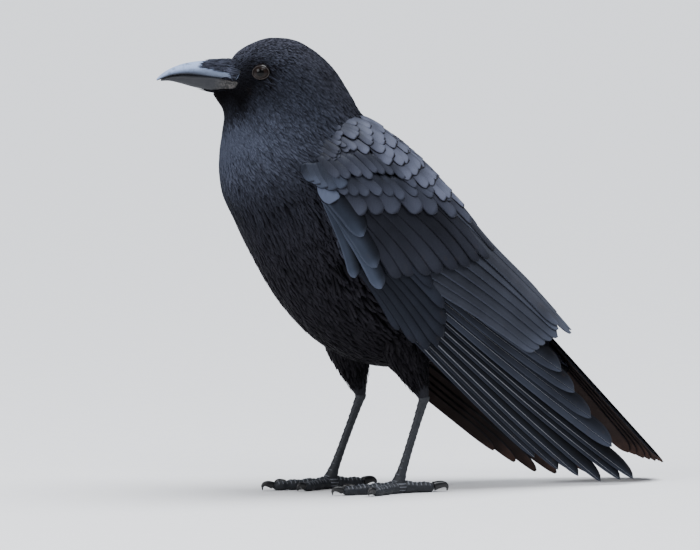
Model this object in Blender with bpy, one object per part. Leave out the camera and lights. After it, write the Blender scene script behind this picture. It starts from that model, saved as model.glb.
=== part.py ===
"""Carrion crow standing with folded wings, life size, as a still museum model.

Metres, +Z up. The bird faces -Y and its left side is +X. Its head is turned to its right.
Every flesh node is a loft of planar ribs, so that neighbours meet at flat cuts. The wings and
the tail are thin plates that follow a curved surface. They are trimmed to the trunk.
"""

import math

import bmesh
import bpy
import numpy as np
from mathutils import Matrix, Vector

MM = 0.001
GAP = 0.3 * MM                     # clearance between neighbouring solids
RING_SIDES = 24                    # points round a flesh rib
HEAD_TURN = math.radians(-27)      # the head looks to the bird's right
NECK_PIVOT_Y = -76.3 * MM          # the neck turns about this upright line

# Ribs of the body, front to back, for a bird that looks straight ahead, in millimetres:
# back point (y, z), belly point (y, z), half width, bulge (below 0 is wider at the belly end),
# and the share of the head's turn.
RIBS = (
    (-122.5, 293.8, -135.0, 270.3, 8.2, 0.10, 1.00),    # face, at the root of the bill
    (-117.5, 299.3, -132.0, 265.8, 11.6, -0.05, 1.00),  # forehead and chin
    (-108.0, 304.8, -128.5, 260.3, 14.4, -0.10, 1.00),  # eyes
    (-95.0, 308.3, -127.4, 254.3, 17.2, -0.12, 1.00),   # crown and throat
    (-76.0, 305.3, -128.3, 247.4, 21.4, -0.12, 1.00),   # back of the skull
    (-56.0, 290.3, -129.5, 238.6, 26.6, -0.10, 0.85),
    (-42.5, 271.3, -131.1, 228.3, 33.0, -0.05, 0.50),   # neck
    (-31.0, 254.8, -132.1, 216.8, 40.0, 0.00, 0.20),
    (-6.0, 241.3, -130.1, 202.0, 46.5, 0.00, 0.00),      # shoulders
    (14.0, 225.8, -121.5, 184.4, 50.0, 0.00, 0.00),      # breast
    (33.0, 206.8, -107.2, 157.5, 51.0, 0.00, 0.00),
    (46.0, 188.8, -89.3, 130.0, 49.0, -0.02, 0.00),
    (56.0, 172.8, -65.5, 105.6, 45.0, -0.04, 0.00),      # belly
    (65.0, 159.8, -36.8, 89.3, 39.0, -0.06, 0.00),
    (74.0, 147.8, -4.0, 83.3, 32.5, -0.08, 0.00),       # vent
    (82.0, 137.8, 34.0, 85.8, 25.5, -0.08, 0.00),       # root of the tail
    (95.0, 116.5, 62.0, 85.5, 20.5, -0.05, 0.00),       # feathers under the tail
    (108.0, 103.0, 88.0, 79.5, 15.0, 0.00, 0.00),
    (121.0, 90.0, 109.0, 75.5, 10.0, 0.00, 0.00),
    (131.0, 80.5, 127.0, 74.5, 4.0, 0.00, 0.00),
)
HEAD_RINGS, NECK_RINGS, TRUNK_RINGS = 9, 6, 19
HEAD_ENDS, NECK_ENDS, TRUNK_ENDS = (0.0, 4.6), (4.6, 7.6), (7.6, 19.0)   # in rib numbers

# Bill, as the head's ribs: ridge point, edge point, half width and bulge.
UPPER_BILL = (
    (-122.9, 293.4, -130.5, 279.5, 7.9, -0.10),
    (-133.0, 293.1, -138.5, 280.9, 7.1, -0.12),
    (-144.0, 292.5, -147.0, 281.7, 6.1, -0.14),
    (-154.0, 290.9, -155.5, 281.7, 5.0, -0.16),
    (-162.5, 287.9, -163.0, 281.1, 3.7, -0.16),
    (-169.0, 284.1, -168.9, 280.1, 2.2, -0.10),
    (-172.9, 280.4, -172.6, 279.2, 0.7, 0.0),
)
LOWER_BILL = (
    (-130.7, 279.1, -135.7, 270.2, 7.2, 0.15),
    (-139.0, 280.5, -142.5, 272.2, 6.4, 0.18),
    (-147.0, 281.3, -149.3, 274.3, 5.4, 0.20),
    (-155.0, 281.3, -156.3, 276.6, 4.2, 0.20),
    (-163.0, 280.7, -163.7, 278.4, 2.7, 0.15),
    (-169.8, 279.7, -170.1, 278.8, 0.8, 0.0),
)
BILL_SIDES = 12
BRISTLE_DEPTH = 1.5 * MM           # bristles lie over the root of the upper bill
BRISTLE_ENDS = (0.12, 2.1)         # in bill rib numbers
EYE_RADIUS = 6.2 * MM
EYE_PLACE = (15.0 * MM, -101.8 * MM, 285.0 * MM)   # x is mirrored for the other eye

# Wing: its own plane has A along the feathers and B up and back, from the bend of the wing.
BEND = np.array((0.0, -86.0, 219.0)) * MM
WING_SLOPE = math.radians(42)
AXIS_A = np.array((0.0, math.cos(WING_SLOPE), -math.sin(WING_SLOPE)))
AXIS_B = np.array((0.0, math.sin(WING_SLOPE), math.cos(WING_SLOPE)))
SIDE = np.array((1.0, 0.0, 0.0))
# Along A: upper edge, lower edge, half width of the bird, middle height of the bulge.
WING_A = np.array((-8, 10, 40, 90, 140, 190, 240, 290, 335)) * MM
UPPER_EDGE = np.array((26, 51, 64, 67, 62, 61, 57, 48, 38)) * MM
LOWER_EDGE = np.array((8, -13, -29, -36, -41, -40, -33, -19, 9)) * MM
HALF_WIDTH = np.array((44, 53.5, 58.5, 59, 57, 52, 45, 39, 35)) * MM
BULGE_B = np.array((4, 4, 3, 2, 2, 4, 8, 12, 14)) * MM
UPPER_RADIUS = np.array((48, 60, 64, 66.5, 61.5, 58.5, 50.5, 38, 27)) * MM
LOWER_RADIUS = np.array((60, 62, 66, 68, 66, 64, 60, 56, 54)) * MM
BULGE_POWER = 2.5
WING_THICK = np.array((5, 9, 11, 11, 9, 6.5, 4, 2.2, 1.3)) * MM
# Tips of the folded flight feathers, from the innermost, as (column from 0 to 1, A).
TIP_COLUMNS = np.array((0, 3, 6, 11, 15, 18, 21, 24, 27, 30)) / 30
TIP_A = np.array((225, 230, 243, 262, 281, 300, 318, 329, 331, 322)) * MM
TIP_NOTCH = np.array((3, 4, 4, 4, 6, 10, 13, 12, 8, 0)) * MM
WING_COLUMNS, WING_ROWS = 31, 10
TRIM = 0.4 * MM                    # clearance that a wing, thigh or tail keeps to the trunk

TAIL_ROOT = np.array((0.0, 73.5, 143.5)) * MM
TAIL_SLOPE = math.radians(45.0)
TAIL_LENGTH = 186 * MM
TAIL_ROOT_HALF, TAIL_TIP_HALF = 14 * MM, 31 * MM
TAIL_ARCH = 7 * MM                 # how far the sides hang below the middle
TAIL_THICK = (6.0 * MM, 1.3 * MM)
TAIL_FEATHERS, TAIL_NOTCH, TAIL_ROUNDING = 8, 4 * MM, 15 * MM
TAIL_ROWS = 6

# Legs: side, foot place, ankle place and knee place, in millimetres.
LEGS = (
    ("left", (28.0, -15.8), (29.0, 3.5, 64.0), (25.0, -20.0, 122.0)),
    ("right", (-28.0, -39.0), (-29.0, -15.0, 63.0), (-25.0, -34.0, 122.0)),
)
FOOT_JOINT_Z = 6.5 * MM
PAD_TOP = 8.0 * MM
SHANK_RADII = np.array((4.3, 2.9, 2.5, 2.5, 2.9, 4.4)) * MM     # ankle to foot joint
SHANK_AT = (0.0, 0.12, 0.35, 0.65, 0.86, 1.0)
THIGH_RADII = np.array((9.0, 15.5, 11.0, 5.4)) * MM
# Toes: name, turn from straight ahead in degrees, length to the claw, root and tip radius.
TOES = (
    ("middle", 2, 43.0, 4.3, 3.0),
    ("inner", -27, 30.0, 4.0, 2.9),
    ("outer", 31, 31.0, 4.0, 2.9),
    ("hind", 176, 26.0, 4.4, 3.3),
)
TOE_PADS = 3                       # swellings along each toe
SOLE = 0.25 * MM                   # how much of each pad is flattened by the floor
CLAWS = {"middle": (14.0, 2.2), "inner": (13.0, 2.1), "outer": (12.0, 2.0), "hind": (18.5, 2.7)}
CLAW_SIDES, TOE_SIDES = 6, 8
CLAW_SEAT = 1.1 * MM               # clears the tilted root of the claw from the toe

COLOURS = {
    "feather": ((0.018, 0.020, 0.026, 1.0), 0.5),
    "bill": ((0.10, 0.11, 0.125, 1.0), 0.35),
    "eye": ((0.010, 0.007, 0.006, 1.0), 0.05),
    "scale": ((0.060, 0.064, 0.072, 1.0), 0.5),
    "claw": ((0.028, 0.028, 0.030, 1.0), 0.3),
}


def clear_scene():
    for obj in list(bpy.data.objects):
        bpy.data.objects.remove(obj)


def collection(name):
    found = bpy.data.collections.new(name)
    bpy.context.scene.collection.children.link(found)
    return found


def material(kind):
    found = bpy.data.materials.get(kind)
    if found is None:
        found = bpy.data.materials.new(kind)
        found.use_nodes = True
        shader = found.node_tree.nodes["Principled BSDF"]
        shader.inputs["Base Color"].default_value = COLOURS[kind][0]
        shader.inputs["Roughness"].default_value = COLOURS[kind][1]
        found.diffuse_color = COLOURS[kind][0]
    return found


def smooth_rows(table, places):
    """Rows of a table read at fractional row numbers, along a Catmull-Rom curve."""
    table = np.asarray(table, float)
    padded = np.vstack((2 * table[0] - table[1], table, 2 * table[-1] - table[-2]))
    places = np.clip(np.asarray(places, float), 0, len(table) - 1)
    low = np.minimum(places.astype(int), len(table) - 2)
    t = (places - low)[:, None]
    p0, p1, p2, p3 = (padded[low + k] for k in range(4))
    return 0.5 * (2 * p1 + (p2 - p0) * t + (2 * p0 - 5 * p1 + 4 * p2 - p3) * t**2
                  + (3 * p1 - p0 - 3 * p2 + p3) * t**3)


def mesh_object(name, points, faces, kind, home):
    """A shaded object whose faces point outwards, with doubled points merged."""
    mesh = bpy.data.meshes.new(name)
    mesh.from_pydata([tuple(p) for p in np.asarray(points, float)], [], faces)
    work = bmesh.new()
    work.from_mesh(mesh)
    bmesh.ops.remove_doubles(work, verts=work.verts, dist=0.01 * MM)
    bmesh.ops.recalc_face_normals(work, faces=work.faces)
    if work.calc_volume(signed=True) < 0:
        bmesh.ops.reverse_faces(work, faces=work.faces)
    work.to_mesh(mesh)
    work.free()
    mesh.shade_smooth()
    mesh.materials.append(material(kind))
    obj = bpy.data.objects.new(name, mesh)
    home.objects.link(obj)
    return obj


def ring_faces(rings, sides):
    """Quads between rings, and a fan of triangles on each end, whose middles come last."""
    faces = []
    for i in range(rings - 1):
        for j in range(sides):
            k = (j + 1) % sides
            faces.append((i * sides + j, i * sides + k, (i + 1) * sides + k, (i + 1) * sides + j))
    first, last = rings * sides, rings * sides + 1
    for j in range(sides):
        k = (j + 1) % sides
        faces.append((first, k, j))
        faces.append((last, (rings - 1) * sides + j, (rings - 1) * sides + k))
    return faces


def loft(name, rings, kind, home):
    """A closed solid through rings of points, given as an array of rings x sides x 3."""
    count, sides = rings.shape[:2]
    middles = (rings[0].mean(0), rings[-1].mean(0))
    points = np.vstack((rings.reshape(-1, 3), middles))
    return mesh_object(name, points, ring_faces(count, sides), kind, home)


def turned(points, share):
    """Points turned about the neck's upright line by a share of the head's turn."""
    angle = np.asarray(share) * HEAD_TURN
    x, y = points[..., 0], points[..., 1] - NECK_PIVOT_Y
    out = points.copy()
    out[..., 0] = x * np.cos(angle) - y * np.sin(angle)
    out[..., 1] = x * np.sin(angle) + y * np.cos(angle) + NECK_PIVOT_Y
    return out


def rib_rings(rows, sides, share):
    """Planar egg-shaped rings. Each row is back y, z, belly y, z, half width and bulge."""
    back = np.stack((np.zeros(len(rows)), rows[:, 0], rows[:, 1]), 1)
    belly = np.stack((np.zeros(len(rows)), rows[:, 2], rows[:, 3]), 1)
    middle, half = (back + belly) / 2, (back - belly) / 2
    angle = np.arange(sides) * 2 * math.pi / sides
    height, width = np.sin(angle), np.cos(angle)
    rings = middle[:, None] + half[:, None] * height[None, :, None]
    across = rows[:, 4, None] * width[None] * (1 + rows[:, 5, None] * height[None])
    rings[..., 0] += across
    return turned(rings, np.asarray(share)[:, None])


def shift_ends(rings, gap):
    """Pulls each end ring in along the loft by a gap, so that neighbours don't touch."""
    for end, inner in ((0, 1), (-1, -2)):
        step = rings[inner].mean(0) - rings[end].mean(0)
        rings[end] = rings[end] + step / np.linalg.norm(step) * gap
    return rings


def body_rings(ends, count, grow=0.0):
    """Rings of the body between two rib numbers. Grow widens them for a cutter."""
    rows = np.array([rib[:6] for rib in RIBS]) * MM
    rows[:, 5] /= MM
    shares = np.array([[rib[6]] for rib in RIBS])
    places = np.linspace(ends[0], ends[1], count)
    rings = rib_rings(smooth_rows(rows, places), RING_SIDES, smooth_rows(shares, places)[:, 0])
    if grow:
        middle = rings.mean(1, keepdims=True)
        out = rings - middle
        rings = rings + out / np.linalg.norm(out, axis=2, keepdims=True) * grow
        return shift_ends(rings, -grow)
    return shift_ends(rings, GAP / 2)


def bill_rings(table, ends, count, grow=0.0):
    rows = np.array(table) * MM
    rows[:, 5] /= MM
    places = np.linspace(ends[0], ends[1], count)
    rows = smooth_rows(rows, places)
    rows[:, 4] += grow
    rows[:, 1] += grow
    return rib_rings(rows, BILL_SIDES, np.ones(count))


def cut(obj, cutter, operation="DIFFERENCE"):
    """Applies a Boolean and puts the result in the object's own mesh."""
    modifier = obj.modifiers.new(operation.title(), "BOOLEAN")
    modifier.operation = operation
    modifier.object = cutter
    graph = bpy.context.evaluated_depsgraph_get()
    mesh = bpy.data.meshes.new_from_object(obj.evaluated_get(graph))
    obj.modifiers.clear()
    old = obj.data
    obj.data = mesh
    bpy.data.meshes.remove(old)
    keep_largest(obj)


def keep_largest(obj):
    """Drops loose chips that a cut leaves, and welds the points that it doubled."""
    work = bmesh.new()
    work.from_mesh(obj.data)
    bmesh.ops.remove_doubles(work, verts=work.verts, dist=0.002 * MM)
    groups, seen = [], set()
    for start in work.verts:
        if start in seen:
            continue
        group, stack = [], [start]
        seen.add(start)
        while stack:
            vert = stack.pop()
            group.append(vert)
            for edge in vert.link_edges:
                other = edge.other_vert(vert)
                if other not in seen:
                    seen.add(other)
                    stack.append(other)
        groups.append(group)
    groups.sort(key=len, reverse=True)
    for group in groups[1:]:
        bmesh.ops.delete(work, geom=group, context="VERTS")
    work.to_mesh(obj.data)
    work.free()


def as_cutter(obj):
    obj.hide_render = True
    obj.display_type = "WIRE"
    return obj


def along_wing(a, values):
    """A wing measure read smoothly between its stations along A."""
    places = np.interp(a, WING_A, np.arange(len(WING_A)))
    return smooth_rows(values[:, None], places.ravel())[:, 0].reshape(np.shape(a))


def wing_surface(a, b):
    """Outer surface of the left wing at places on its own plane."""
    width = along_wing(a, HALF_WIDTH)
    rise = b - along_wing(a, BULGE_B)
    upper, lower = along_wing(a, UPPER_RADIUS), along_wing(a, LOWER_RADIUS)
    off = np.clip(np.abs(rise) / np.where(rise > 0, upper, lower), 0, 0.995)
    x = width * (1 - off**BULGE_POWER) ** (1 / BULGE_POWER)
    return BEND + a[..., None] * AXIS_A + b[..., None] * AXIS_B + x[..., None] * SIDE


def plate(name, outer, thick, kind, home):
    """A closed plate between an outer grid of points and one set inwards by its thickness."""
    rows, columns = outer.shape[:2]
    along = np.gradient(outer, axis=0)
    across = np.gradient(outer, axis=1)
    normal = np.cross(along, across)
    normal /= np.linalg.norm(normal, axis=2, keepdims=True)
    inner = outer + normal * thick[..., None]
    points = np.vstack((outer.reshape(-1, 3), inner.reshape(-1, 3)))
    base = rows * columns
    faces = []
    for i in range(rows - 1):
        for j in range(columns - 1):
            p = i * columns + j
            faces.append((p, p + 1, p + columns + 1, p + columns))
            faces.append((base + p, base + p + columns, base + p + columns + 1, base + p + 1))
    rim = [j for j in range(columns)]
    rim += [i * columns + columns - 1 for i in range(1, rows)]
    rim += [(rows - 1) * columns + j for j in range(columns - 2, -1, -1)]
    rim += [i * columns for i in range(rows - 2, 0, -1)]
    for k, p in enumerate(rim):
        q = rim[(k + 1) % len(rim)]
        faces.append((p, base + p, base + q, q))
    return mesh_object(name, points, faces, kind, home)


def body_cutter(name, ends, count, helpers):
    """A stretch of the body, grown by the clearance, to trim what leans on it."""
    return as_cutter(loft(name, body_rings(ends, count, TRIM), "feather", helpers))


def wing_plate(name, mirror, home):
    """One folded wing, from the bend to the feather tips."""
    column = np.linspace(0, 1, WING_COLUMNS)
    row = np.linspace(0, 1, WING_ROWS)
    tip = np.interp(column, TIP_COLUMNS, TIP_A)
    depth = np.interp(column, TIP_COLUMNS, TIP_NOTCH)
    step = TIP_COLUMNS[None, :] - column[:, None]
    near = np.abs(step).min(1) / (0.5 * np.diff(TIP_COLUMNS).min())
    tip = tip - depth * np.clip(near, 0, 1) ** 2
    front = WING_A[0] + 14 * MM * (2 * column - 1) ** 2
    a = front[None, :] + row[:, None] ** 0.85 * (tip - front)[None, :]
    upper, lower = along_wing(a, UPPER_EDGE), along_wing(a, LOWER_EDGE)
    b = upper + (lower - upper) * column[None, :]
    thick = along_wing(a, WING_THICK)
    edge = np.minimum(np.minimum(column, 1 - column)[None, :] / 0.12, 1)
    thick = np.maximum(thick * (0.35 + 0.65 * edge), 1.1 * MM)
    outer = wing_surface(a, b)
    if mirror:
        outer[..., 0] *= -1
        return plate(name, outer[:, ::-1], thick[:, ::-1], "feather", home)
    return plate(name, outer, thick, "feather", home)


def tail_plate(name, home):
    """The closed tail, a shallow roof of overlapping feathers with a notched end."""
    columns = TAIL_FEATHERS * 3 + 1
    side = np.linspace(-1, 1, columns)
    row = np.linspace(0, 1, TAIL_ROWS)
    feather = np.abs(np.mod((side + 1) / 2 * TAIL_FEATHERS, 1) - 0.5) * 2
    length = TAIL_LENGTH - TAIL_ROUNDING * side**2 - TAIL_NOTCH * feather**3
    along = row[:, None] * length[None, :]
    half = TAIL_ROOT_HALF + (TAIL_TIP_HALF - TAIL_ROOT_HALF) * (along / TAIL_LENGTH) ** 0.9
    down = TAIL_ARCH * side[None, :] ** 2 * (0.4 + 0.6 * along / TAIL_LENGTH)
    axis = np.array((0.0, math.cos(TAIL_SLOPE), -math.sin(TAIL_SLOPE)))
    rise = np.array((0.0, math.sin(TAIL_SLOPE), math.cos(TAIL_SLOPE)))
    outer = (TAIL_ROOT + along[..., None] * axis - down[..., None] * rise
             + (side[None, :] * half)[..., None] * SIDE)
    thick = TAIL_THICK[0] + (TAIL_THICK[1] - TAIL_THICK[0]) * (along / TAIL_LENGTH) ** 0.6
    return plate(name, outer[:, ::-1], thick[:, ::-1], "feather", home)


def tube_rings(path, radii, sides, flatten=1.0):
    """Round rings square to a path. Flatten scales them across the path's own up."""
    path = np.asarray(path, float)
    tangent = np.gradient(path, axis=0)
    tangent /= np.linalg.norm(tangent, axis=1, keepdims=True)
    lateral = np.cross(tangent, (0.0, 0.0, 1.0))
    flat = np.linalg.norm(lateral, axis=1) < 1e-3
    lateral[flat] = (1.0, 0.0, 0.0)
    lateral /= np.linalg.norm(lateral, axis=1, keepdims=True)
    up = np.cross(lateral, tangent)
    angle = np.arange(sides) * 2 * math.pi / sides
    wide = np.cos(angle)[None, :, None] * lateral[:, None]
    tall = np.sin(angle)[None, :, None] * up[:, None] * flatten
    return path[:, None] + (wide + tall) * np.asarray(radii)[:, None, None]


def mix(start, end, share):
    share = np.asarray(share)[:, None]
    return np.asarray(start) * (1 - share) + np.asarray(end) * share


def toe_path(foot, heading, length, count=9):
    """Middle line of a toe: over the pad, then level at the height of its pads."""
    share = np.linspace(0, 1, count)
    out = np.array((math.sin(heading), -math.cos(heading), 0.0))
    path = np.array((foot[0], foot[1], 0.0)) + share[:, None] * length * out
    return path, share, out


def toe(name, foot, spec, side, home):
    """One toe with swollen pads, and its claw as a solid of its own."""
    label, degrees, length, root, end = spec
    sign = 1 if side == "left" else -1
    heading = math.radians(degrees) * sign
    length, root, end = length * MM, root * MM, end * MM
    path, share, out = toe_path(foot, heading, length, 11)
    swell = 0.5 - 0.5 * np.cos(share * 2 * math.pi * TOE_PADS)
    radii = (root + (end - root) * share) * (0.86 + 0.18 * swell)
    path[:, 2] = radii - SOLE
    body = loft(name, tube_rings(path, radii, TOE_SIDES), "scale", home)
    reach, thick = (value * MM for value in CLAWS[label])
    tip = path[-1] + out * CLAW_SEAT
    curl = np.linspace(0, 1, 8)
    bend = curl * math.radians(105)
    radius = reach / math.radians(105)
    height = tip[2] + 0.8 * MM
    line = tip + np.outer(np.sin(bend) * radius, out)
    line[:, 2] = height + 2.0 * MM * np.sin(curl * math.pi) - curl**1.6 * (height - 0.7 * MM)
    rings = tube_rings(line, thick * (1 - 0.86 * curl**1.3), CLAW_SIDES, 1.15)
    claw = loft(f"{side}_{label}_claw", rings, "claw", home)
    return body, claw


def leg(side, foot, ankle, knee, home, helpers):
    """Feathered thigh, bare shank, and a foot whose toes are one solid with its pad."""
    foot = np.array((*foot, 0.0)) * MM
    joint = foot + np.array((0.0, 0.0, FOOT_JOINT_Z))
    ankle, knee = np.array(ankle) * MM, np.array(knee) * MM
    thigh_share = np.linspace(0, 1, 9)
    radii = smooth_rows(THIGH_RADII[:, None], thigh_share * (len(THIGH_RADII) - 1))[:, 0]
    rings = tube_rings(mix(knee, ankle + (ankle - knee) * 0.1, thigh_share), radii, 14)
    thigh = loft(f"{side}_thigh", rings, "feather", home)
    level_end(thigh, ankle[2] + GAP)
    shank_path = mix(ankle + (ankle - joint) * 0.06, joint, SHANK_AT)
    shank = loft(f"{side}_shank", tube_rings(shank_path, SHANK_RADII, 12), "scale", home)
    level_end(shank, ankle[2], -1)
    level_end(shank, PAD_TOP + GAP)
    foot_pad = loft(f"{side}_foot", pad_rings(foot), "scale", home)
    claws = []
    for spec in TOES:
        body, claw = toe(f"{side}_{spec[0]}_toe", foot, spec, side, helpers)
        claws.append(claw)
        cut(foot_pad, body, "UNION")
        bpy.data.objects.remove(body)
    for claw in claws:
        helpers.objects.unlink(claw)
        home.objects.link(claw)
    level_end(foot_pad, 0.0)
    return thigh, shank, foot_pad, claws


def pad_rings(foot):
    """The ball of the foot, a low dome under the shank."""
    heights = np.array((-0.02, 0.15, 0.4, 0.65, 0.87, 1.0)) * PAD_TOP
    radii = np.array((4.2, 5.4, 6.0, 5.8, 4.9, 3.2)) * MM
    path = np.stack((np.full(6, foot[0]), np.full(6, foot[1]), heights), 1)
    angle = np.arange(16) * 2 * math.pi / 16
    circle = np.stack((np.cos(angle), np.sin(angle), np.zeros(16)), 1)
    return path[:, None] + circle[None] * radii[:, None, None]


def level_end(obj, height, keep=1):
    """Cuts an object flat at a height and keeps what is above it, or below it if keep is -1."""
    work = bmesh.new()
    work.from_mesh(obj.data)
    everything = work.verts[:] + work.edges[:] + work.faces[:]
    result = bmesh.ops.bisect_plane(work, geom=everything, plane_co=(0, 0, height),
                                    plane_no=(0, 0, -keep), clear_outer=True)
    rim = [item for item in result["geom_cut"] if isinstance(item, bmesh.types.BMEdge)]
    bmesh.ops.holes_fill(work, edges=rim, sides=0)
    bmesh.ops.triangulate(work, faces=[face for face in work.faces if len(face.verts) > 4])
    bmesh.ops.recalc_face_normals(work, faces=work.faces)
    work.to_mesh(obj.data)
    work.free()


def sphere(name, centre, radius, kind, home, segments=12, rings=8):
    mesh = bpy.data.meshes.new(name)
    work = bmesh.new()
    bmesh.ops.create_uvsphere(work, u_segments=segments, v_segments=rings, radius=radius,
                              matrix=Matrix.Translation(Vector(centre)))
    work.to_mesh(mesh)
    work.free()
    mesh.shade_smooth()
    mesh.materials.append(material(kind))
    obj = bpy.data.objects.new(name, mesh)
    home.objects.link(obj)
    return obj


def eye_place(sign):
    point = np.array((EYE_PLACE[0] * sign, EYE_PLACE[1], EYE_PLACE[2]))
    return turned(point, 1.0)


def make_head(home, helpers):
    head = loft("head", body_rings(HEAD_ENDS, HEAD_RINGS), "feather", home)
    for side, sign in (("left", 1), ("right", -1)):
        centre = eye_place(sign)
        socket = as_cutter(sphere(f"{side}_socket", centre, EYE_RADIUS + GAP, "feather", helpers))
        cut(head, socket)
        sphere(f"{side}_eye", centre, EYE_RADIUS, "eye", home)
    loft("bill_upper", bill_rings(UPPER_BILL, (0.0, 6.0), 13), "bill", home)
    loft("bill_lower", bill_rings(LOWER_BILL, (0.0, 5.0), 11), "bill", home)
    return head


def shade(home):
    """Smooth shading with crisp cut edges."""
    for obj in home.objects:
        obj.data.shade_smooth()
        obj.data.set_sharp_from_angle(angle=math.radians(38))


def recentre(home):
    """Moves everything so that the middle of the whole bird's box is over the origin."""
    points = [vert.co for obj in home.objects for vert in obj.data.vertices]
    xs, ys = [p.x for p in points], [p.y for p in points]
    move = Matrix.Translation((-(min(xs) + max(xs)) / 2, -(min(ys) + max(ys)) / 2, 0.0))
    for obj in home.objects:
        obj.data.transform(move)


def main():
    clear_scene()
    home, helpers = collection("carrion_crow"), collection("cutters")
    make_head(home, helpers)
    loft("neck", body_rings(NECK_ENDS, NECK_RINGS), "feather", home)
    loft("trunk", body_rings(TRUNK_ENDS, TRUNK_RINGS), "feather", home)
    trunk_cutter = body_cutter("trunk_cutter", TRUNK_ENDS, TRUNK_RINGS, helpers)
    neck_cutter = body_cutter("neck_cutter", NECK_ENDS, NECK_RINGS, helpers)
    for name, mirror in (("left_wing", False), ("right_wing", True)):
        wing = wing_plate(name, mirror, home)
        cut(wing, trunk_cutter)
        cut(wing, neck_cutter)
    tail = tail_plate("tail", home)
    cut(tail, trunk_cutter)
    for side, foot, ankle, knee in LEGS:
        thigh, *_ = leg(side, foot, ankle, knee, home, helpers)
        cut(thigh, trunk_cutter)
    shade(home)
    recentre(home)


main()
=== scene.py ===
"""Looks of a life-size model of a carrion crow: skin, feathers, bill, eyes, legs and claws.

Shapes are surfaces worked out as whole arrays, in millimetres, in the bird's own measures.
The bird faces -Y and its left side is +X. Lengths turn to metres where a mesh is made.
"""

import math

import bpy
import numpy as np
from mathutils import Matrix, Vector


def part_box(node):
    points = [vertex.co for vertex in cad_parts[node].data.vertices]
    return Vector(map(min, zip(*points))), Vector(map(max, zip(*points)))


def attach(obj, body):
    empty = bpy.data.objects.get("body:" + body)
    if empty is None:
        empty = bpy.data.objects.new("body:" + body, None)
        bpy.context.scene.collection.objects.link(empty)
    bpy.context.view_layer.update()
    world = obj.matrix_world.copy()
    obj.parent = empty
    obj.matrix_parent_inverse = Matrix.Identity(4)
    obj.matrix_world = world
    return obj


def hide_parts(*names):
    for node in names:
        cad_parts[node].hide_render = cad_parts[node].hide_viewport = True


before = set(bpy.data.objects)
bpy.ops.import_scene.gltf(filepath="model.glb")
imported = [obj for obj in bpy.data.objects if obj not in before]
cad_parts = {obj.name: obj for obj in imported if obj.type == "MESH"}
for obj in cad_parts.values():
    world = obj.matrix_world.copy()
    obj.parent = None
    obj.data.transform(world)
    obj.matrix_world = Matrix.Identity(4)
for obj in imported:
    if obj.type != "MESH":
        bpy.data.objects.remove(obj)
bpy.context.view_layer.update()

MM = 0.001
TURN = 2 * math.pi
SEEDS = {"body": 11, "left": 21, "right": 22, "tail": 31}

# -------- measures of the bird, in mm

HEAD_TURN = math.radians(-27)      # the head looks to the bird's right
NECK_PIVOT_Y = -76.3
# Ribs of the plumage: back y, z, belly y, z, half width, bulge, share of the head's turn.
RIBS = (
    (-122.5, 293.8, -135.0, 270.3, 7.4, 0.05, 1.00),
    (-117.5, 299.3, -132.0, 265.8, 9.4, -0.02, 1.00),
    (-108.0, 304.8, -128.5, 260.3, 12.4, -0.06, 1.00),
    (-95.0, 308.3, -127.4, 254.3, 16.6, -0.12, 1.00),
    (-76.0, 305.3, -128.3, 247.4, 21.4, -0.12, 1.00),
    (-56.0, 290.3, -129.5, 238.6, 26.6, -0.10, 0.85),
    (-42.5, 271.3, -131.1, 228.3, 33.0, -0.05, 0.50),
    (-31.0, 254.8, -132.1, 216.8, 40.0, 0.00, 0.20),
    (-6.0, 241.3, -130.1, 202.0, 46.5, 0.00, 0.00),
    (14.0, 225.8, -121.5, 184.4, 50.0, 0.00, 0.00),
    (33.0, 206.8, -107.2, 157.5, 51.0, 0.00, 0.00),
    (46.0, 188.8, -89.3, 130.0, 49.0, -0.02, 0.00),
    (56.0, 172.8, -65.5, 105.6, 45.0, -0.04, 0.00),
    (65.0, 159.8, -36.8, 89.3, 39.0, -0.06, 0.00),
    (74.0, 147.8, -4.0, 83.3, 32.5, -0.08, 0.00),
    (82.0, 137.8, 34.0, 85.8, 25.5, -0.08, 0.00),
    (95.0, 116.5, 62.0, 85.5, 20.5, -0.05, 0.00),
    (108.0, 103.0, 88.0, 79.5, 15.0, 0.00, 0.00),
    (121.0, 90.0, 109.0, 75.5, 10.0, 0.00, 0.00),
    (131.0, 80.5, 127.0, 74.5, 4.0, 0.00, 0.00),
)
LAST_RIB = len(RIBS) - 1
# The bill's ribs, given in the same way. The first one flares to the corner of the mouth.
BILL = {
    "upper": (
        (-112.5, 291.0, -119.5, 278.8, 13.0, -0.15, 1.0),
        (-122.9, 293.4, -128.8, 280.6, 8.4, -0.10, 1.0),
        (-133.0, 293.1, -138.0, 281.7, 7.3, -0.12, 1.0),
        (-144.0, 292.5, -147.0, 282.6, 6.2, -0.14, 1.0),
        (-154.0, 290.9, -155.5, 282.9, 5.0, -0.16, 1.0),
        (-162.5, 287.9, -163.0, 282.2, 3.7, -0.16, 1.0),
        (-169.0, 284.1, -168.9, 280.5, 2.2, -0.10, 1.0),
        (-172.9, 280.4, -172.6, 279.2, 0.7, 0.0, 1.0),
    ),
    "lower": (
        (-116.5, 279.8, -121.5, 271.0, 14.0, 0.12, 1.0),
        (-129.5, 280.7, -134.0, 271.8, 8.0, 0.15, 1.0),
        (-138.0, 281.8, -141.5, 273.5, 6.8, 0.18, 1.0),
        (-147.0, 282.7, -149.3, 275.3, 5.6, 0.20, 1.0),
        (-155.0, 282.9, -156.3, 277.3, 4.3, 0.20, 1.0),
        (-163.0, 281.8, -163.7, 279.0, 2.7, 0.15, 1.0),
        (-169.8, 279.9, -170.1, 279.0, 0.8, 0.0, 1.0),
    ),
}
BILL_STEP = 10.5                   # mean distance between the bill's ribs
BILL_CLOSE = 0.5                   # lifts the lower bill's inner side into the upper bill
EYE_RADIUS = 6.2
EYE_PLACE = (15.0, -101.8, 285.0)
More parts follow.
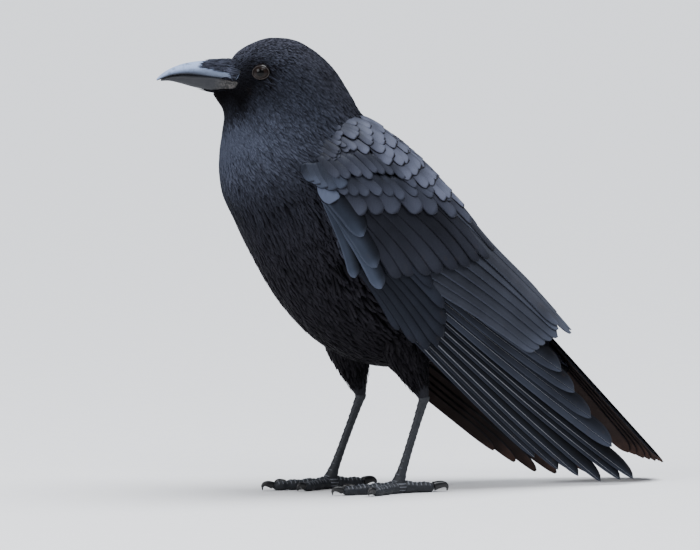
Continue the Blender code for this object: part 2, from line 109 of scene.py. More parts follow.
EYE_OPENING = (6.1, 4.9)           # half length and half height of the bare ring round the eye

# A folded wing on its own sloping plane: A runs from the bend to the tip, and B upwards.
BEND = np.array((0.0, -86.0, 219.0))
WING_SLOPE = math.radians(42)
AXIS_A = np.array((0.0, math.cos(WING_SLOPE), -math.sin(WING_SLOPE)))
AXIS_B = np.array((0.0, math.sin(WING_SLOPE), math.cos(WING_SLOPE)))
WING_A = np.array((-8, 10, 40, 90, 140, 190, 240, 290, 335.0))
UPPER_EDGE = np.array((26, 51, 64, 67, 62, 61, 57, 48, 38.0))
LOWER_EDGE = np.array((8, -13, -29, -36, -41, -40, -33, -19, 9.0))
HALF_WIDTH = np.array((44, 53.5, 58.5, 59, 57, 52, 45, 39, 35.0))
BULGE_B = np.array((4, 4, 3, 2, 2, 4, 8, 12, 14.0))
UPPER_RADIUS = np.array((48, 60, 64, 66.5, 61.5, 58.5, 50.5, 38, 27.0))
LOWER_RADIUS = np.array((60, 62, 66, 68, 66, 64, 60, 56, 54.0))
BULGE_POWER = 2.5
WING_CREST = 0.85                  # share of the upper reach where the surface turns over
WING_RIM = 0.9997                  # share of the reach that counts as the edge itself

TAIL_ROOT = np.array((0.0, 73.5, 143.5))
TAIL_SLOPE = math.radians(45.0)
TAIL_AXIS = np.array((0.0, math.cos(TAIL_SLOPE), -math.sin(TAIL_SLOPE)))
TAIL_RISE = np.array((0.0, math.sin(TAIL_SLOPE), math.cos(TAIL_SLOPE)))
TAIL_LENGTH = 186.0
TAIL_ROOT_HALF = 14.0
TAIL_TIP_HALF = 31.0
TAIL_ARCH = 9.5                    # how far the roof's edges lie below its ridge
TAIL_ROUNDING = 15.0               # how much shorter the outermost feathers are

# Legs: side, its sign, the foot's x and y, the ankle and the knee.
LEGS = (
    ("left", 1, (28.0, -15.8), (29.0, 3.5, 64.0), (25.0, -20.0, 122.0)),
    ("right", -1, (-28.0, -39.0), (-29.0, -15.0, 63.0), (-25.0, -34.0, 122.0)),
)
FOOT_JOINT_Z = 6.5
THIGH_RADII = (9.0, 15.5, 11.0, 5.4)
SHANK_RADII = (3.7, 2.9, 2.5, 2.5, 2.9, 4.4)
SHANK_AT = (0.0, 0.12, 0.35, 0.65, 0.86, 1.0)
# Toes: name, turn from straight ahead in degrees, length to the claw, radius at the root and
# at the tip, number of pads.
TOES = (
    ("middle", 2, 43.0, 4.3, 3.0, 4),
    ("inner", -27, 30.0, 4.0, 2.9, 3),
    ("outer", 31, 31.0, 4.0, 2.9, 3),
    ("hind", 176, 26.0, 4.4, 3.3, 2),
)
# Claws: reach and thickness at the root.
CLAWS = {"middle": (14.0, 2.2), "inner": (13.0, 2.1), "outer": (12.0, 2.0), "hind": (18.5, 2.7)}
TOE_PLATE = 2.9                    # length of a plate on a toe
TOE_EDGE = 0.50                    # how far a toe plate's front edge stands out
PAD_SWELL = 0.20                   # share of a toe's radius that its pads add
BALL_RADIUS = 6.2
BALL_HEIGHT = (4.3, 4.6)           # height of the ball's middle, and half of its own height
SCUTES = 13                        # plates down the front of a shank
SCUTE_EDGE = 0.42                  # how far the lower edge of such a plate stands out
BACK_RINGS = 0.10                  # height of the fine rings down the back of a shank
CLAW_CURL = math.radians(105)
CLAW_RISE = 2.0
CLAW_POINT = 0.7                   # height of a claw's point over the floor
OFF_FLOOR = 0.06                   # least height of the feet over the floor


# -------- surfaces

def smooth_rows(table, places):
    """Rows of a table read at fractional row numbers, along a Catmull-Rom curve."""
    table = np.asarray(table, float)
    padded = np.vstack((2 * table[0] - table[1], table, 2 * table[-1] - table[-2]))
    places = np.clip(np.asarray(places, float), 0, len(table) - 1)
    low = np.minimum(places.astype(int), len(table) - 2)
    t = (places - low)[..., None]
    p0, p1, p2, p3 = (padded[low + k] for k in range(4))
    return 0.5 * (2 * p1 + (p2 - p0) * t + (2 * p0 - 5 * p1 + 4 * p2 - p3) * t**2
                  + (3 * p1 - p0 - 3 * p2 + p3) * t**3)


def turned(points, share):
    """Points turned about the neck's upright line by a share of the head's turn."""
    angle = np.asarray(share) * HEAD_TURN
    x, y = points[..., 0], points[..., 1] - NECK_PIVOT_Y
    out = points.copy()
    out[..., 0] = x * np.cos(angle) - y * np.sin(angle)
    out[..., 1] = x * np.sin(angle) + y * np.cos(angle) + NECK_PIVOT_Y
    return out


def ribbed(table, rib, angle, square=0.0):
    """Egg-shaped ribs: the middle, plus sine of the angle towards the back, plus its cosine
    times the half width sideways, wider where bulge times the sine is, all turned. Where
    square is over 0 the cosine is taken to the power of 1 less square, for a boxier side."""
    row = smooth_rows(table, rib)
    high, wide = np.sin(angle), np.cos(angle)
    wide = np.sign(wide) * np.abs(wide) ** (1 - square)
    y = (row[..., 0] + row[..., 2]) / 2 + (row[..., 0] - row[..., 2]) / 2 * high
    z = (row[..., 1] + row[..., 3]) / 2 + (row[..., 1] - row[..., 3]) / 2 * high
    x = row[..., 4] * wide * (1 + row[..., 5] * high)
    return turned(np.stack((x, y, z), -1), row[..., 6])


def body(rib, angle):
    """The outline of the plumage of head, neck and trunk."""
    return ribbed(RIBS, rib, angle)


def along_wing(a, values):
    """A wing measure read smoothly between its stations along A."""
    places = np.interp(a, WING_A, np.arange(len(WING_A)))
    return smooth_rows(values[:, None], places)[..., 0]


def wing_width(a, off):
    """Half width of the folded wing: a rounded-square curve of the share off of its reach."""
    return along_wing(a, HALF_WIDTH) * (1 - off**BULGE_POWER) ** (1 / BULGE_POWER)


def wing(a, v, side=1):
    """The outer surface of a folded wing on its own sloping plane. Its height there is v, until
    v passes the crest's share of the reach; then height follows a quarter sine to the top, so
    that the surface goes on smoothly towards the middle of the back."""
    middle = along_wing(a, BULGE_B)
    rise = v - middle
    reach = np.where(rise > 0, along_wing(a, UPPER_RADIUS), along_wing(a, LOWER_RADIUS))
    share = np.abs(rise) / reach
    over = np.clip((share - WING_CREST) / (1 - WING_CREST), 0, math.pi / 2)
    off = np.minimum(share, WING_CREST) + (1 - WING_CREST) * np.sin(over)
    off = np.clip(off, 0, WING_RIM)
    b = middle + np.sign(rise) * off * reach
    place = BEND + a[..., None] * AXIS_A + b[..., None] * AXIS_B
    place[..., 0] = wing_width(a, off) * side
    return place


def tail(along, side):
    """The upper face of the closed tail: a shallow roof that widens towards its tip with the
    0.9 power of the share along it, and falls away sideways with the 0.8 power of the square
    of the share across it, more so towards its tip."""
    share = np.clip(along / TAIL_LENGTH, 1e-6, None)
    half = TAIL_ROOT_HALF + (TAIL_TIP_HALF - TAIL_ROOT_HALF) * share**0.9
    down = TAIL_ARCH * (side**2 + 0.02) ** 0.8 * (0.4 + 0.6 * share)
    place = TAIL_ROOT + along[..., None] * TAIL_AXIS - down[..., None] * TAIL_RISE
    place[..., 0] = side * half
    return place


def sleeve(start, end, radii, share, angle):
    """A round tube from start to end whose radius follows radii, read smoothly."""
    start, end = np.asarray(start, float), np.asarray(end, float)
    axis = (end - start) / np.linalg.norm(end - start)
    lateral = np.cross(axis, (0.0, 1.0, 0.0))
    lateral /= np.linalg.norm(lateral)
    forward = np.cross(axis, lateral)
    radius = smooth_rows(np.array(radii)[:, None], share * (len(radii) - 1))
    round_it = np.cos(angle)[..., None] * lateral + np.sin(angle)[..., None] * forward
    return start + share[..., None] * (end - start) + round_it * radius


class Form:
    """A surface with a place on the coat's map. Its parameters are u, along the lie of the
    feathers, and v, across it. Turn is 1 or -1, so that the normal points outwards. Chart is
    the box on the map that the ranges of u and v fill, and step the small steps that slopes
    are taken over."""

    def __init__(self, at, turn, chart, u_range, v_range, step):
        self.at, self.turn, self.chart, self.step = at, turn, chart, step
        self.u_range, self.v_range = u_range, v_range

    def slopes(self, u, v):
        """Points, and how they change with u and with v, by small central steps."""
        du, dv = self.step
        along = (self.at(u + du, v) - self.at(u - du, v)) / (2 * du)
        across = (self.at(u, v + dv) - self.at(u, v - dv)) / (2 * dv)
        return self.at(u, v), along, across

    def place(self, u, v, out):
        """Points raised by out along the surface's normal, and the normal."""
        point, along, across = self.slopes(u, v)
        normal = np.cross(along, across) * self.turn
        normal /= np.maximum(np.linalg.norm(normal, axis=-1, keepdims=True), 1e-9)
        return point + normal * np.asarray(out)[..., None], normal

    def walk(self, u, v, forward, sideways):
        """Parameters reached from u, v by walking forward along u's own direction and sideways
        square to it, in millimetres, through the surface's metric at u, v."""
        _, along, across = self.slopes(u, v)
        e = np.maximum((along**2).sum(-1), 1e-6)
        f = (along * across).sum(-1)
        side = across - along * (f / e)[..., None]
        long_unit, side_unit = np.sqrt(e), np.linalg.norm(side, axis=-1)
        dv = sideways / np.maximum(side_unit, 1e-6)[..., None, None]
        du = forward / np.maximum(long_unit, 1e-6)[..., None, None]
        du = du - dv * (f / e)[..., None, None]
        return u[..., None, None] + du, v[..., None, None] + dv

    def on_chart(self, u, v):
        """The place of u, v on the unwrap that the whole skin shares."""
        x0, y0, x1, y1 = self.chart
        su = (u - self.u_range[0]) / (self.u_range[1] - self.u_range[0])
        sv = (v - self.v_range[0]) / (self.v_range[1] - self.v_range[0])
        return np.stack((x0 + (x1 - x0) * np.mod(sv, 1.0001), y0 + (y1 - y0) * su), -1)


# The left eye's place in the frame gives the shift from the bird's own measures to the frame's.
eye_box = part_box("left_eye")
eye_centre = np.array(eye_box[0] + eye_box[1]) / 2 / MM
SHIFT = eye_centre - turned(np.array(EYE_PLACE), 1.0)

BODY = Form(body, 1, (0.01, 0.01, 0.99, 0.58), (0, LAST_RIB), (-math.pi, math.pi), (0.01, 0.005))
WINGS = {side: Form(lambda a, b, sign=sign: wing(a, b, sign), sign,
                    (left, 0.60, left + 0.48, 0.78), (-10, 340), (-42, 70), (0.2, 0.2))
         for side, sign, left in (("left", 1, 0.01), ("right", -1, 0.51))}
TAIL = Form(tail, -1, (0.01, 0.80, 0.49, 0.99), (-30, 190), (-1.05, 1.05), (0.2, 0.005))


# -------- meshes

def mesh_piece(name, points, faces, material):
    """A piece from points in millimetres and arrays of faces of one size each."""
    mesh = bpy.data.meshes.new(name)
    groups = [np.asarray(group, np.int64) for group in faces]
    places = (np.asarray(points, float).reshape(-1, 3) + SHIFT) * MM
    corners = np.concatenate([group.ravel() for group in groups])
    sizes = np.concatenate([np.full(len(group), group.shape[1]) for group in groups])
    mesh.vertices.add(len(places))
    mesh.loops.add(len(corners))
    mesh.polygons.add(len(sizes))
    mesh.vertices.foreach_set("co", places.astype(np.float32).ravel())
    mesh.polygons.foreach_set("loop_start", np.concatenate(((0,), np.cumsum(sizes)[:-1])))
    mesh.polygons.foreach_set("vertices", corners)
    mesh.update(calc_edges=True)
    mesh.polygons.foreach_set("use_smooth", np.full(len(sizes), True))
    mesh.materials.append(material)
    piece = bpy.data.objects.new(name, mesh)
    bpy.context.scene.collection.objects.link(piece)
    return piece


def grid_faces(rows, columns):
    """Quads between rows of points, with the last column joined up to the first."""
    i, j = np.meshgrid(np.arange(rows - 1), np.arange(columns), indexing="ij")
    k = (j + 1) % columns
    return np.stack((i * columns + j, i * columns + k, (i + 1) * columns + k,
                     (i + 1) * columns + j), -1).reshape(-1, 4)


def tube_faces(rows, sides):
    """Quads between rings, and a many-sided cap on each end."""
    ring = np.arange(sides)
    caps = np.stack((ring[::-1], (rows - 1) * sides + ring))
    return [grid_faces(rows, sides), caps]


def ring_grid(rows, sides, first=0.0, last=1.0):
    """Places from first to last down a grid of rings, and angles once round it."""
    down = np.linspace(first, last, rows)[:, None]
    around = np.linspace(0, TURN, sides, endpoint=False)[None, :]
    return np.broadcast_arrays(down, around)


def ring_piece(name, shells, material):
    """A piece of one or more closed shells, each a grid of rings capped at both ends."""
    points, groups, start = [], {}, 0
    for rings in shells:
        for faces in tube_faces(*rings.shape[:2]):
            groups.setdefault(faces.shape[1], []).append(faces + start)
        points.append(rings.reshape(-1, 3))
        start += len(points[-1])
    return mesh_piece(name, np.concatenate(points),
                      [np.concatenate(found) for found in groups.values()], material)


def set_number(piece, name, values):
    """A number kept on each point of a piece, for its material to read."""
    layer = piece.data.attributes.new(name, "FLOAT", "POINT")
    layer.data.foreach_set("value", np.asarray(values, np.float32).ravel())


def set_map(piece, name, places):
    """A UV map given by a place for each point."""
    mesh = piece.data
    corner = np.empty(len(mesh.loops), np.int32)
    mesh.loops.foreach_get("vertex_index", corner)
    layer = mesh.uv_layers.new(name=name)
    layer.data.foreach_set("uv", places.reshape(-1, 2)[corner].astype(np.float32).ravel())


def declare(piece, slot, *nodes):
    """Rides the piece on the bird's one body and hides the nodes it stands for. Slot is not used.
    """
    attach(piece, "root")
    if nodes:
        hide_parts(*nodes)


# -------- shader maths

class Wire:
    """A shader socket that can be added, multiplied and so on."""

    def __init__(self, shade, socket):
        self.shade, self.socket = shade, socket

    def maths(self, operation, *others):
        return self.shade.node("ShaderNodeMath", {"operation": operation}, 0, self, *others)

    def __add__(self, other):
        return self.maths("ADD", other)

    __radd__ = __add__

    def __mul__(self, other):
        return self.maths("MULTIPLY", other)

    __rmul__ = __mul__

    def __sub__(self, other):
        return self.maths("SUBTRACT", other)

    def __rsub__(self, other):
        return self.shade.node("ShaderNodeMath", {"operation": "SUBTRACT"}, 0, other, self)

    def clamp(self):
        return self.shade.node("ShaderNodeClamp", {}, 0, self)

    def step(self, low, high):
        """A smooth step from 0 at low to 1 at high."""
        return self.shade.node("ShaderNodeMapRange", {"interpolation_type": "SMOOTHSTEP"}, 0,
                               self, low, high)


class Shade:
    """A material being made."""

    def __init__(self, name):
        self.material = bpy.data.materials.new(name)
        self.material.use_nodes = True
        self.nodes = self.material.node_tree.nodes
        self.links = self.material.node_tree.links
        self.shader = self.nodes["Principled BSDF"]

    def node(self, kind, settings, output, *values, **named):
        """Adds a node of a kind, with its settings, and the values or links of its sockets."""
        made = self.nodes.new(kind)
        for key, value in settings.items():
            setattr(made, key, value)
        for key, value in [*enumerate(values), *named.items()]:
            self.put(made.inputs[key.replace("_", " ") if isinstance(key, str) else key], value)
        return Wire(self, made.outputs[output])

    def put(self, socket, value):
        """Links a socket, or sets its value; None leaves it as it is."""
        if isinstance(value, Wire):
            self.links.new(value.socket, socket)
        elif value is not None:
            socket.default_value = value

    def number(self, name):
        """The number that a piece keeps on its points under this name."""
        return self.node("ShaderNodeAttribute", {"attribute_name": name}, "Fac")

    def place(self):
        """The point's place on the piece, in metres."""
        return self.node("ShaderNodeTexCoord", {}, "Object")

    def noise(self, vector, scale, detail=2.0):
        """Soft noise from 0 to 1 through space, with scale bumps to the metre."""
        return self.node("ShaderNodeTexNoise", {}, "Fac", Vector=vector, Scale=scale,
                         Detail=detail)

    def noise_along(self, place, scale, detail=2.0):
        """Soft noise from 0 to 1 along a single measure."""
        return self.node("ShaderNodeTexNoise", {"noise_dimensions": "1D"}, "Fac", W=place,
                         Scale=scale, Detail=detail)

    def blend(self, share, one, two):
        """Colour one, turning to colour two as the share goes from 0 to 1."""
        made = self.nodes.new("ShaderNodeMix")
        made.data_type, made.clamp_factor = "RGBA", True
        self.put(made.inputs[0], share)
        self.put(made.inputs[6], one)
        self.put(made.inputs[7], two)
        return Wire(self, made.outputs[2])

    def bump(self, height, strength, distance):
        """A normal that follows a height of at most distance, in metres."""
        return self.node("ShaderNodeBump", {}, "Normal", Strength=strength,
                         Distance=distance, Height=height)

    def finish(self, colour, roughness, normal=None, **constants):
        """Fills in the shader: what changes is linked, and constants are set on its sockets."""
        self.put(self.shader.inputs["Base Color"], colour)
        self.put(self.shader.inputs["Roughness"], roughness)
        self.put(self.shader.inputs["Normal"], normal)
        for key, value in constants.items():
            self.shader.inputs[key.replace("_", " ")].default_value = value
        return self.material


def rgb(red, green, blue):
    """An opaque colour."""
    return (red, green, blue, 1.0)


BARB_SCALE = 2.2                   # streaks to the millimetre of the barbs' own measure
WEAR_SCALE = 140.0                 # worn spots to the metre
FEATHER_BLACK = rgb(0.0022, 0.0020, 0.0023)
UNDER_BROWN = rgb(0.085, 0.062, 0.056)
FADED_BROWN = rgb(0.085, 0.050, 0.040)
WORN_BROWN = rgb(0.045, 0.030, 0.022)
SKY_GLOSS = rgb(0.75, 0.84, 1.0)


def plumage(name, lit, cool, edge, edge_share, rough, index, vary=0.3, covered_shade=0.6,
            patch_scale=48.0, streak=0.6, worn=0.15, rim_start=0.68, ramp=0.45):
    """Feather finish: black, turning to a lit colour by how pale the feather is, with painted shade
    on the web that the next feather covers, streaked along the barbs, rimmed, and worn in spots.
    The rim is a painted shadow line where the edge colour is dark and a painted sheen where it is
    pale. Ramp is how much painted shade darkens a root, where it runs under the feather above,
    against its tip, vary how much feathers differ, covered_shade how dark the painted shade on the
    covered web is, and streak how strong the barbs are. The under side is brown, and fades at its
    tip."""
    shade = Shade(name)
    tint, along, pale = shade.number("tint"), shade.number("along"), shade.number("pale")
    across, barb, cooler = shade.number("across"), shade.number("barb"), shade.number("cool")
    barbs = shade.noise_along(barb, BARB_SCALE, 3.0)
    patch = shade.noise(shade.place(), scale=patch_scale, detail=3.0)
    # The step along each feather is painted shade: the root, which runs under the feather above, is
    # darker than the tip.
    local = along.step(0.35, 1.0) * ramp + tint * vary + 1.02 - 0.75 * ramp - 0.5 * vary
    local = local + (barbs - 0.5) * streak + (patch - 0.5) * 0.8
    # Painted shade on the web that the next feather covers.
    covered_web_shade = 1.0 - across.step(-0.4, 1.0) * covered_shade
    beneath = (0.0 - cooler).clamp()
    colour = shade.blend(cooler, lit, cool)
    colour = shade.blend(beneath, colour, UNDER_BROWN)
    colour = shade.blend((local * pale * covered_web_shade).clamp(), FEATHER_BLACK, colour)
    # A rim along the lower web and the tip in the edge colour: a painted shadow line on the
    # coverts, where it is dark, and a painted sheen on the other feathers, where it is pale.
    rim = (across.step(-rim_start, -0.98) + along.step(0.88, 1.0)).clamp() * edge_share
    rim = rim * (1.0 - beneath)
    colour = shade.blend((rim * (pale + 0.1) * 3.0).clamp(), colour, edge)
    wear = shade.noise(shade.place(), scale=WEAR_SCALE, detail=3.0).step(0.60, 0.74)
    colour = shade.blend(wear * worn * along.step(0.5, 1.0), colour, WORN_BROWN)
    fade = patch.step(0.35, 0.6) * along.step(0.90, 0.97) * beneath * worn
    colour = shade.blend(fade * 5.0, colour, FADED_BROWN)
    roughness = (barbs - 0.5) * 0.25 + rough
    return shade.finish(colour, roughness, shade.bump(barbs, 0.2, 0.0004), IOR=index,
                        Specular_Tint=SKY_GLOSS)


# -------- vanes

# Sections of a vane: places across it from -1 to 1, and 1 for those on its under side.
SLIM = (np.array((-1.0, 0.0, 1.0)), np.zeros(3))
BROAD = (np.array((-1.0, -0.5, 0.0, 0.5, 1.0)), np.zeros(5))
PLATE_TOP = np.linspace(-1, 1, 9)
PLATE = (np.concatenate((PLATE_TOP, PLATE_TOP[-2:0:-2])),
         np.concatenate((np.zeros(9), np.ones(4))))

PATCH = 0.003                      # size of a vane's patch on the coat's map
PIECE_LIMIT = 190000               # most triangles in a piece of the coat
BARB_SWEEP = 1.1                   # how far barbs run towards the tip, over their way outwards
WIDEST_AT = 0.45                   # share of a vane's length where it is fully wide


def per_vane(values):
    """One value for each vane, ready to meet arrays of vanes x rows x places."""
    return values[:, None, None]


def outline(share, tip, ratio, base=0.35):
    """Width of a vane along its length: it swells from its base by a quarter sine, and closes
    in half an ellipse that is tip half widths long. Ratio is half width over length."""
    swell = base + (1 - base) * np.sin(np.clip(share / WIDEST_AT, 0, 1) * math.pi / 2)
    close = np.clip((1 - share) / np.clip(tip * ratio, 0.05, 0.9), 0, 1)
    return swell * np.sqrt(np.clip(1 - (1 - close) ** 2, 0, 1))


def vane_rows(count):
    """Places along a vane, closer together at the tip, where the outline turns."""
    return 1 - (1 - np.linspace(0, 0.996, count)) ** 1.35


class Coat:
    """Gathers vanes of one finish, and makes them pieces of at most a set size."""

    def __init__(self):
        self.batches = []

    def add(self, points, numbers, patches):
        """Points are vanes x rows x places round the section x 3."""
        self.batches.append((points, numbers, patches))

    def make(self, name, material, *nodes):
        """Packs the vanes in order into pieces that stay under the limit of triangles."""
        groups, room = [[]], PIECE_LIMIT
        for points, numbers, patches in self.batches:
            vanes, rows, sides = points.shape[:3]
            each = (rows - 1) * sides * 2 + 2 * (sides - 2)
            first = 0
            while first < vanes:
                count = min(vanes - first, room // each)
                if count:
                    part = slice(first, first + count)
                    kept = {key: values[part] for key, values in numbers.items()}
                    groups[-1].append((points[part], kept, patches[part]))
                    first, room = first + count, room - count * each
                else:
                    groups.append([])
                    room = PIECE_LIMIT
        for index, group in enumerate(groups):
            label = name if len(groups) == 1 else f"{name}_{index + 1}"
            self.make_piece(label, group, material, nodes)

    def make_piece(self, name, group, material, nodes):
        """One piece: every vane is a closed tube, with its numbers and its place on the map."""
        faces, start = {}, 0
        for points, _, _ in group:
            vanes, rows, sides = points.shape[:3]
            offset = start + np.arange(vanes)[:, None, None] * rows * sides
            for kind in tube_faces(rows, sides):
                made = (kind[None] + offset).reshape(-1, kind.shape[1])
                faces.setdefault(kind.shape[1], []).append(made)
            start += vanes * rows * sides
        piece = mesh_piece(name, np.concatenate([found[0].reshape(-1, 3) for found in group]),
                           [np.concatenate(found) for found in faces.values()], material)
        for key in group[0][1]:
            set_number(piece, key, np.concatenate([found[1][key].ravel() for found in group]))
        set_map(piece, "OFBake", np.concatenate([found[2].reshape(-1, 2) for found in group]))
        declare(piece, "feather", *nodes)


def lay_vanes(coat, form, u, v, out, section, thick, half, length, tint, pale, cool=0.5,
              dark=0.0):
    """Adds vanes whose section points have parameters u, v and height out, all of them
    vanes x rows x places round the section. The under side lies deeper by the thickness, and
    dark is how much painted shade darkens the web that the next feather covers, by taking away
    from its paleness."""
    across, under = section
    points, _ = form.place(u, v, out - under * thick)
    share = vane_rows(u.shape[1])[None, :, None]
    width = np.abs(across) * per_vane(half)
    # Painted shade on the web that the next feather covers: dark takes its paleness down.
    painted_cover_shade = np.clip((across + 0.1) / 0.6, 0, 1) * (1 - under) * dark
    numbers = {
        "tint": per_vane(tint),
        "pale": per_vane(pale) * (1 - painted_cover_shade),
        "cool": per_vane(cool + 0 * tint) * (1 - under) - under,
        "along": share,
        "across": across * (1 - under) - 0.5 * under,
        "barb": share * per_vane(length) - BARB_SWEEP * width,
    }
    root = form.on_chart(u[:, 0].mean(1), v[:, 0].mean(1))
    spread = np.stack(np.broadcast_arrays(across * 0.5, share - 0.5), -1)
    shape = points.shape[:3]
    patch = np.broadcast_to(root[:, None, None, :] + spread * PATCH, shape + (2,))
    numbers = {key: np.broadcast_to(values, shape) for key, values in numbers.items()}
    if form.turn > 0:
        points, patch = points[:, :, ::-1], patch[:, :, ::-1]
        numbers = {key: values[:, :, ::-1] for key, values in numbers.items()}
    coat.add(points, numbers, patch)


def scatter(form, u_rows, spacing, v_ends, rng, jitter=0.35, samples=400):
    """Roots in staggered rows: along each row of u they stand a spacing apart in millimetres."""
    us, vs = [], []
    for row, u in enumerate(u_rows):
        v = np.linspace(v_ends[0], v_ends[1], samples)
        level = np.full_like(v, u)
        walk = np.linalg.norm(np.diff(form.at(level, v), axis=0), axis=1)
        walk = np.concatenate(((0.0,), np.cumsum(walk)))
        dose = np.concatenate(((0.0,), np.cumsum(np.diff(walk) / spacing(level, v)[1:])))
        count = max(1, int(dose[-1]))
        marks = np.arange(count) + 0.5 * (row % 2) + rng.uniform(-jitter, jitter, count)
        vs.append(np.interp(marks, dose, v))
        us.append(np.full(count, u))
    return np.concatenate(us), np.concatenate(vs)


# -------- coat of the body

# Along the ribs, in millimetres: depth of the coat over the skin, and length and half width of
# its feathers on the back and on the belly side. COAT_COOL is how bluish they are.
COAT_RIB = (0.0, 0.8, 2.0, 4.0, 5.5, 7.0, 8.5, 10.0, 12.0, 14.0, 16.0, 19.0)
COAT_DEPTH = (0.6, 0.8, 1.2, 1.8, 2.2, 2.8, 3.4, 3.8, 4.0, 4.0, 3.4, 1.6)
BACK_LENGTH = (2.4, 3.0, 4.0, 6.0, 9.0, 12.0, 15.0, 16.0, 18.0, 20.0, 24.0, 26.0)
BELLY_LENGTH = (2.4, 3.6, 6.0, 9.5, 13.0, 15.0, 15.0, 15.0, 17.0, 19.0, 24.0, 26.0)
BACK_HALF = (0.30, 0.38, 0.50, 0.62, 0.80, 1.3, 3.4, 4.6, 5.4, 5.4, 5.2, 4.5)
BELLY_HALF = (0.25, 0.30, 0.36, 0.45, 0.55, 0.7, 0.9, 1.15, 1.3, 1.5, 2.4, 3.5)
# How pale the body's feathers are, by rib and by the sine of the angle towards the back.
# This is partly the plumage's own tone and partly painted light: the feathers turn paler
# towards the top, as if lit from above, with a painted highlight on the front of the crown.
PALE_SINE = (-1.0, -0.5, 0.0, 0.4, 0.8, 1.0)
PALE_RIB = (0.0, 1.0, 2.0, 3.0, 4.0, 5.0, 6.0, 7.0, 8.0, 10.0, 12.0, 14.0, 16.0, 19.0)
PALE = np.array((
    (0.00, 0.00, 0.24, 0.32, 0.70, 1.10), (0.00, 0.00, 0.22, 0.30, 0.70, 1.20),
    (0.15, 0.00, 0.04, 0.14, 0.62, 1.05), (0.40, 0.00, 0.03, 0.16, 0.60, 0.80),
    (1.20, 0.35, 0.16, 0.24, 0.50, 0.62), (1.45, 0.90, 0.42, 0.32, 0.40, 0.46),
    (0.90, 0.80, 0.55, 0.42, 0.38, 0.40), (0.46, 0.44, 0.50, 0.50, 0.50, 0.50),
    (0.26, 0.26, 0.32, 0.50, 0.76, 0.78), (0.20, 0.20, 0.24, 0.50, 0.78, 0.80),
    (0.14, 0.14, 0.16, 0.40, 0.76, 0.78), (0.09, 0.09, 0.10, 0.25, 0.60, 0.65),
    (0.06, 0.06, 0.07, 0.18, 0.45, 0.50), (0.10, 0.10, 0.10, 0.20, 0.40, 0.40)))
COAT_COOL = (0.8, 0.8, 0.8, 0.9, 0.9, 0.8, 0.6, 0.35, 0.15, 0.0, 0.0, 0.1)


def coat_measure(rib, angle, back, belly):
    """A measure of the coat: the back's and the belly's, blended by height round the body."""
    high = np.clip(0.5 + 0.62 * np.sin(angle), 0, 1)
    high = high * high * (3 - 2 * high)
    return np.interp(rib, COAT_RIB, belly) * (1 - high) + np.interp(rib, COAT_RIB, back) * high


def paleness(rib, angle):
    """The paleness table read straight between its entries."""
    row = np.interp(rib, PALE_RIB, np.arange(len(PALE_RIB)))
    column = np.interp(np.sin(angle), PALE_SINE, np.arange(len(PALE_SINE)))
    i = np.minimum(row.astype(int), len(PALE_RIB) - 2)
    j = np.minimum(column.astype(int), len(PALE_SINE) - 2)
    s, t = row - i, column - j
    return ((PALE[i, j] * (1 - t) + PALE[i, j + 1] * t) * (1 - s)
            + (PALE[i + 1, j] * (1 - t) + PALE[i + 1, j + 1] * t) * s)


def eye_axes(sign):
    """Centre of an eye, and its outward, backward and upward directions. Before the head turns,
    outwards is 8 degrees ahead of straight sideways, and a little upwards."""
    centre = turned(np.array((EYE_PLACE[0] * sign, EYE_PLACE[1], EYE_PLACE[2])), 1.0)
    ahead_by = math.radians(8)
    out = np.array((math.cos(ahead_by) * sign, -math.sin(ahead_by), 0.03))
    ahead = np.array((0.0, NECK_PIVOT_Y, 0.0))
    out = turned(out + ahead, 1.0) - ahead
    out /= np.linalg.norm(out)
    back = np.cross(out, (0.0, 0.0, 1.0)) * -sign
    back /= np.linalg.norm(back)
    return centre, out, back, np.cross(back, out) * -sign


def clear_of_eyes(points):
    """True for vanes whose middle line stays outside both eye rings."""
    keep = np.ones(len(points), bool)
    middle = points.mean(2)
    for sign in (1, -1):
        centre, out, back, up = eye_axes(sign)
        off = middle - centre
        ring = ((off @ back) / EYE_OPENING[0]) ** 2 + ((off @ up) / EYE_OPENING[1]) ** 2
        keep &= ~((ring < 1.0) & (off @ out > 0)).any(1)
    return keep


SECONDARIES_END = 215              # along A; past it the wing is too slim to hide feathers
UNDER_WING_GAP = 1.5               # depth under a wing's outer surface where it hides them


def under_wing(points, margin):
    """True for points that a folded wing hides: inside its edges and its outer surface."""
    off = points - BEND
    a, b = off @ AXIS_A, off @ AXIS_B
    inside = (a > margin) & (a < SECONDARIES_END)
    inside &= (b > along_wing(a, LOWER_EDGE) + margin) & (b < along_wing(a, UPPER_EDGE) - margin)
    middle = along_wing(a, BULGE_B)
    reach = np.where(b > middle, along_wing(a, UPPER_RADIUS), along_wing(a, LOWER_RADIUS))
    off = np.clip(np.abs(b - middle) / reach, 0, 1)
    return inside & (np.abs(points[:, 0]) < wing_width(a, off) - UNDER_WING_GAP)


ROW_SHARE = 0.30                   # rows of body feathers lie this share of their length apart
SIDE_SHARE = 1.05                  # and their roots this many half widths apart


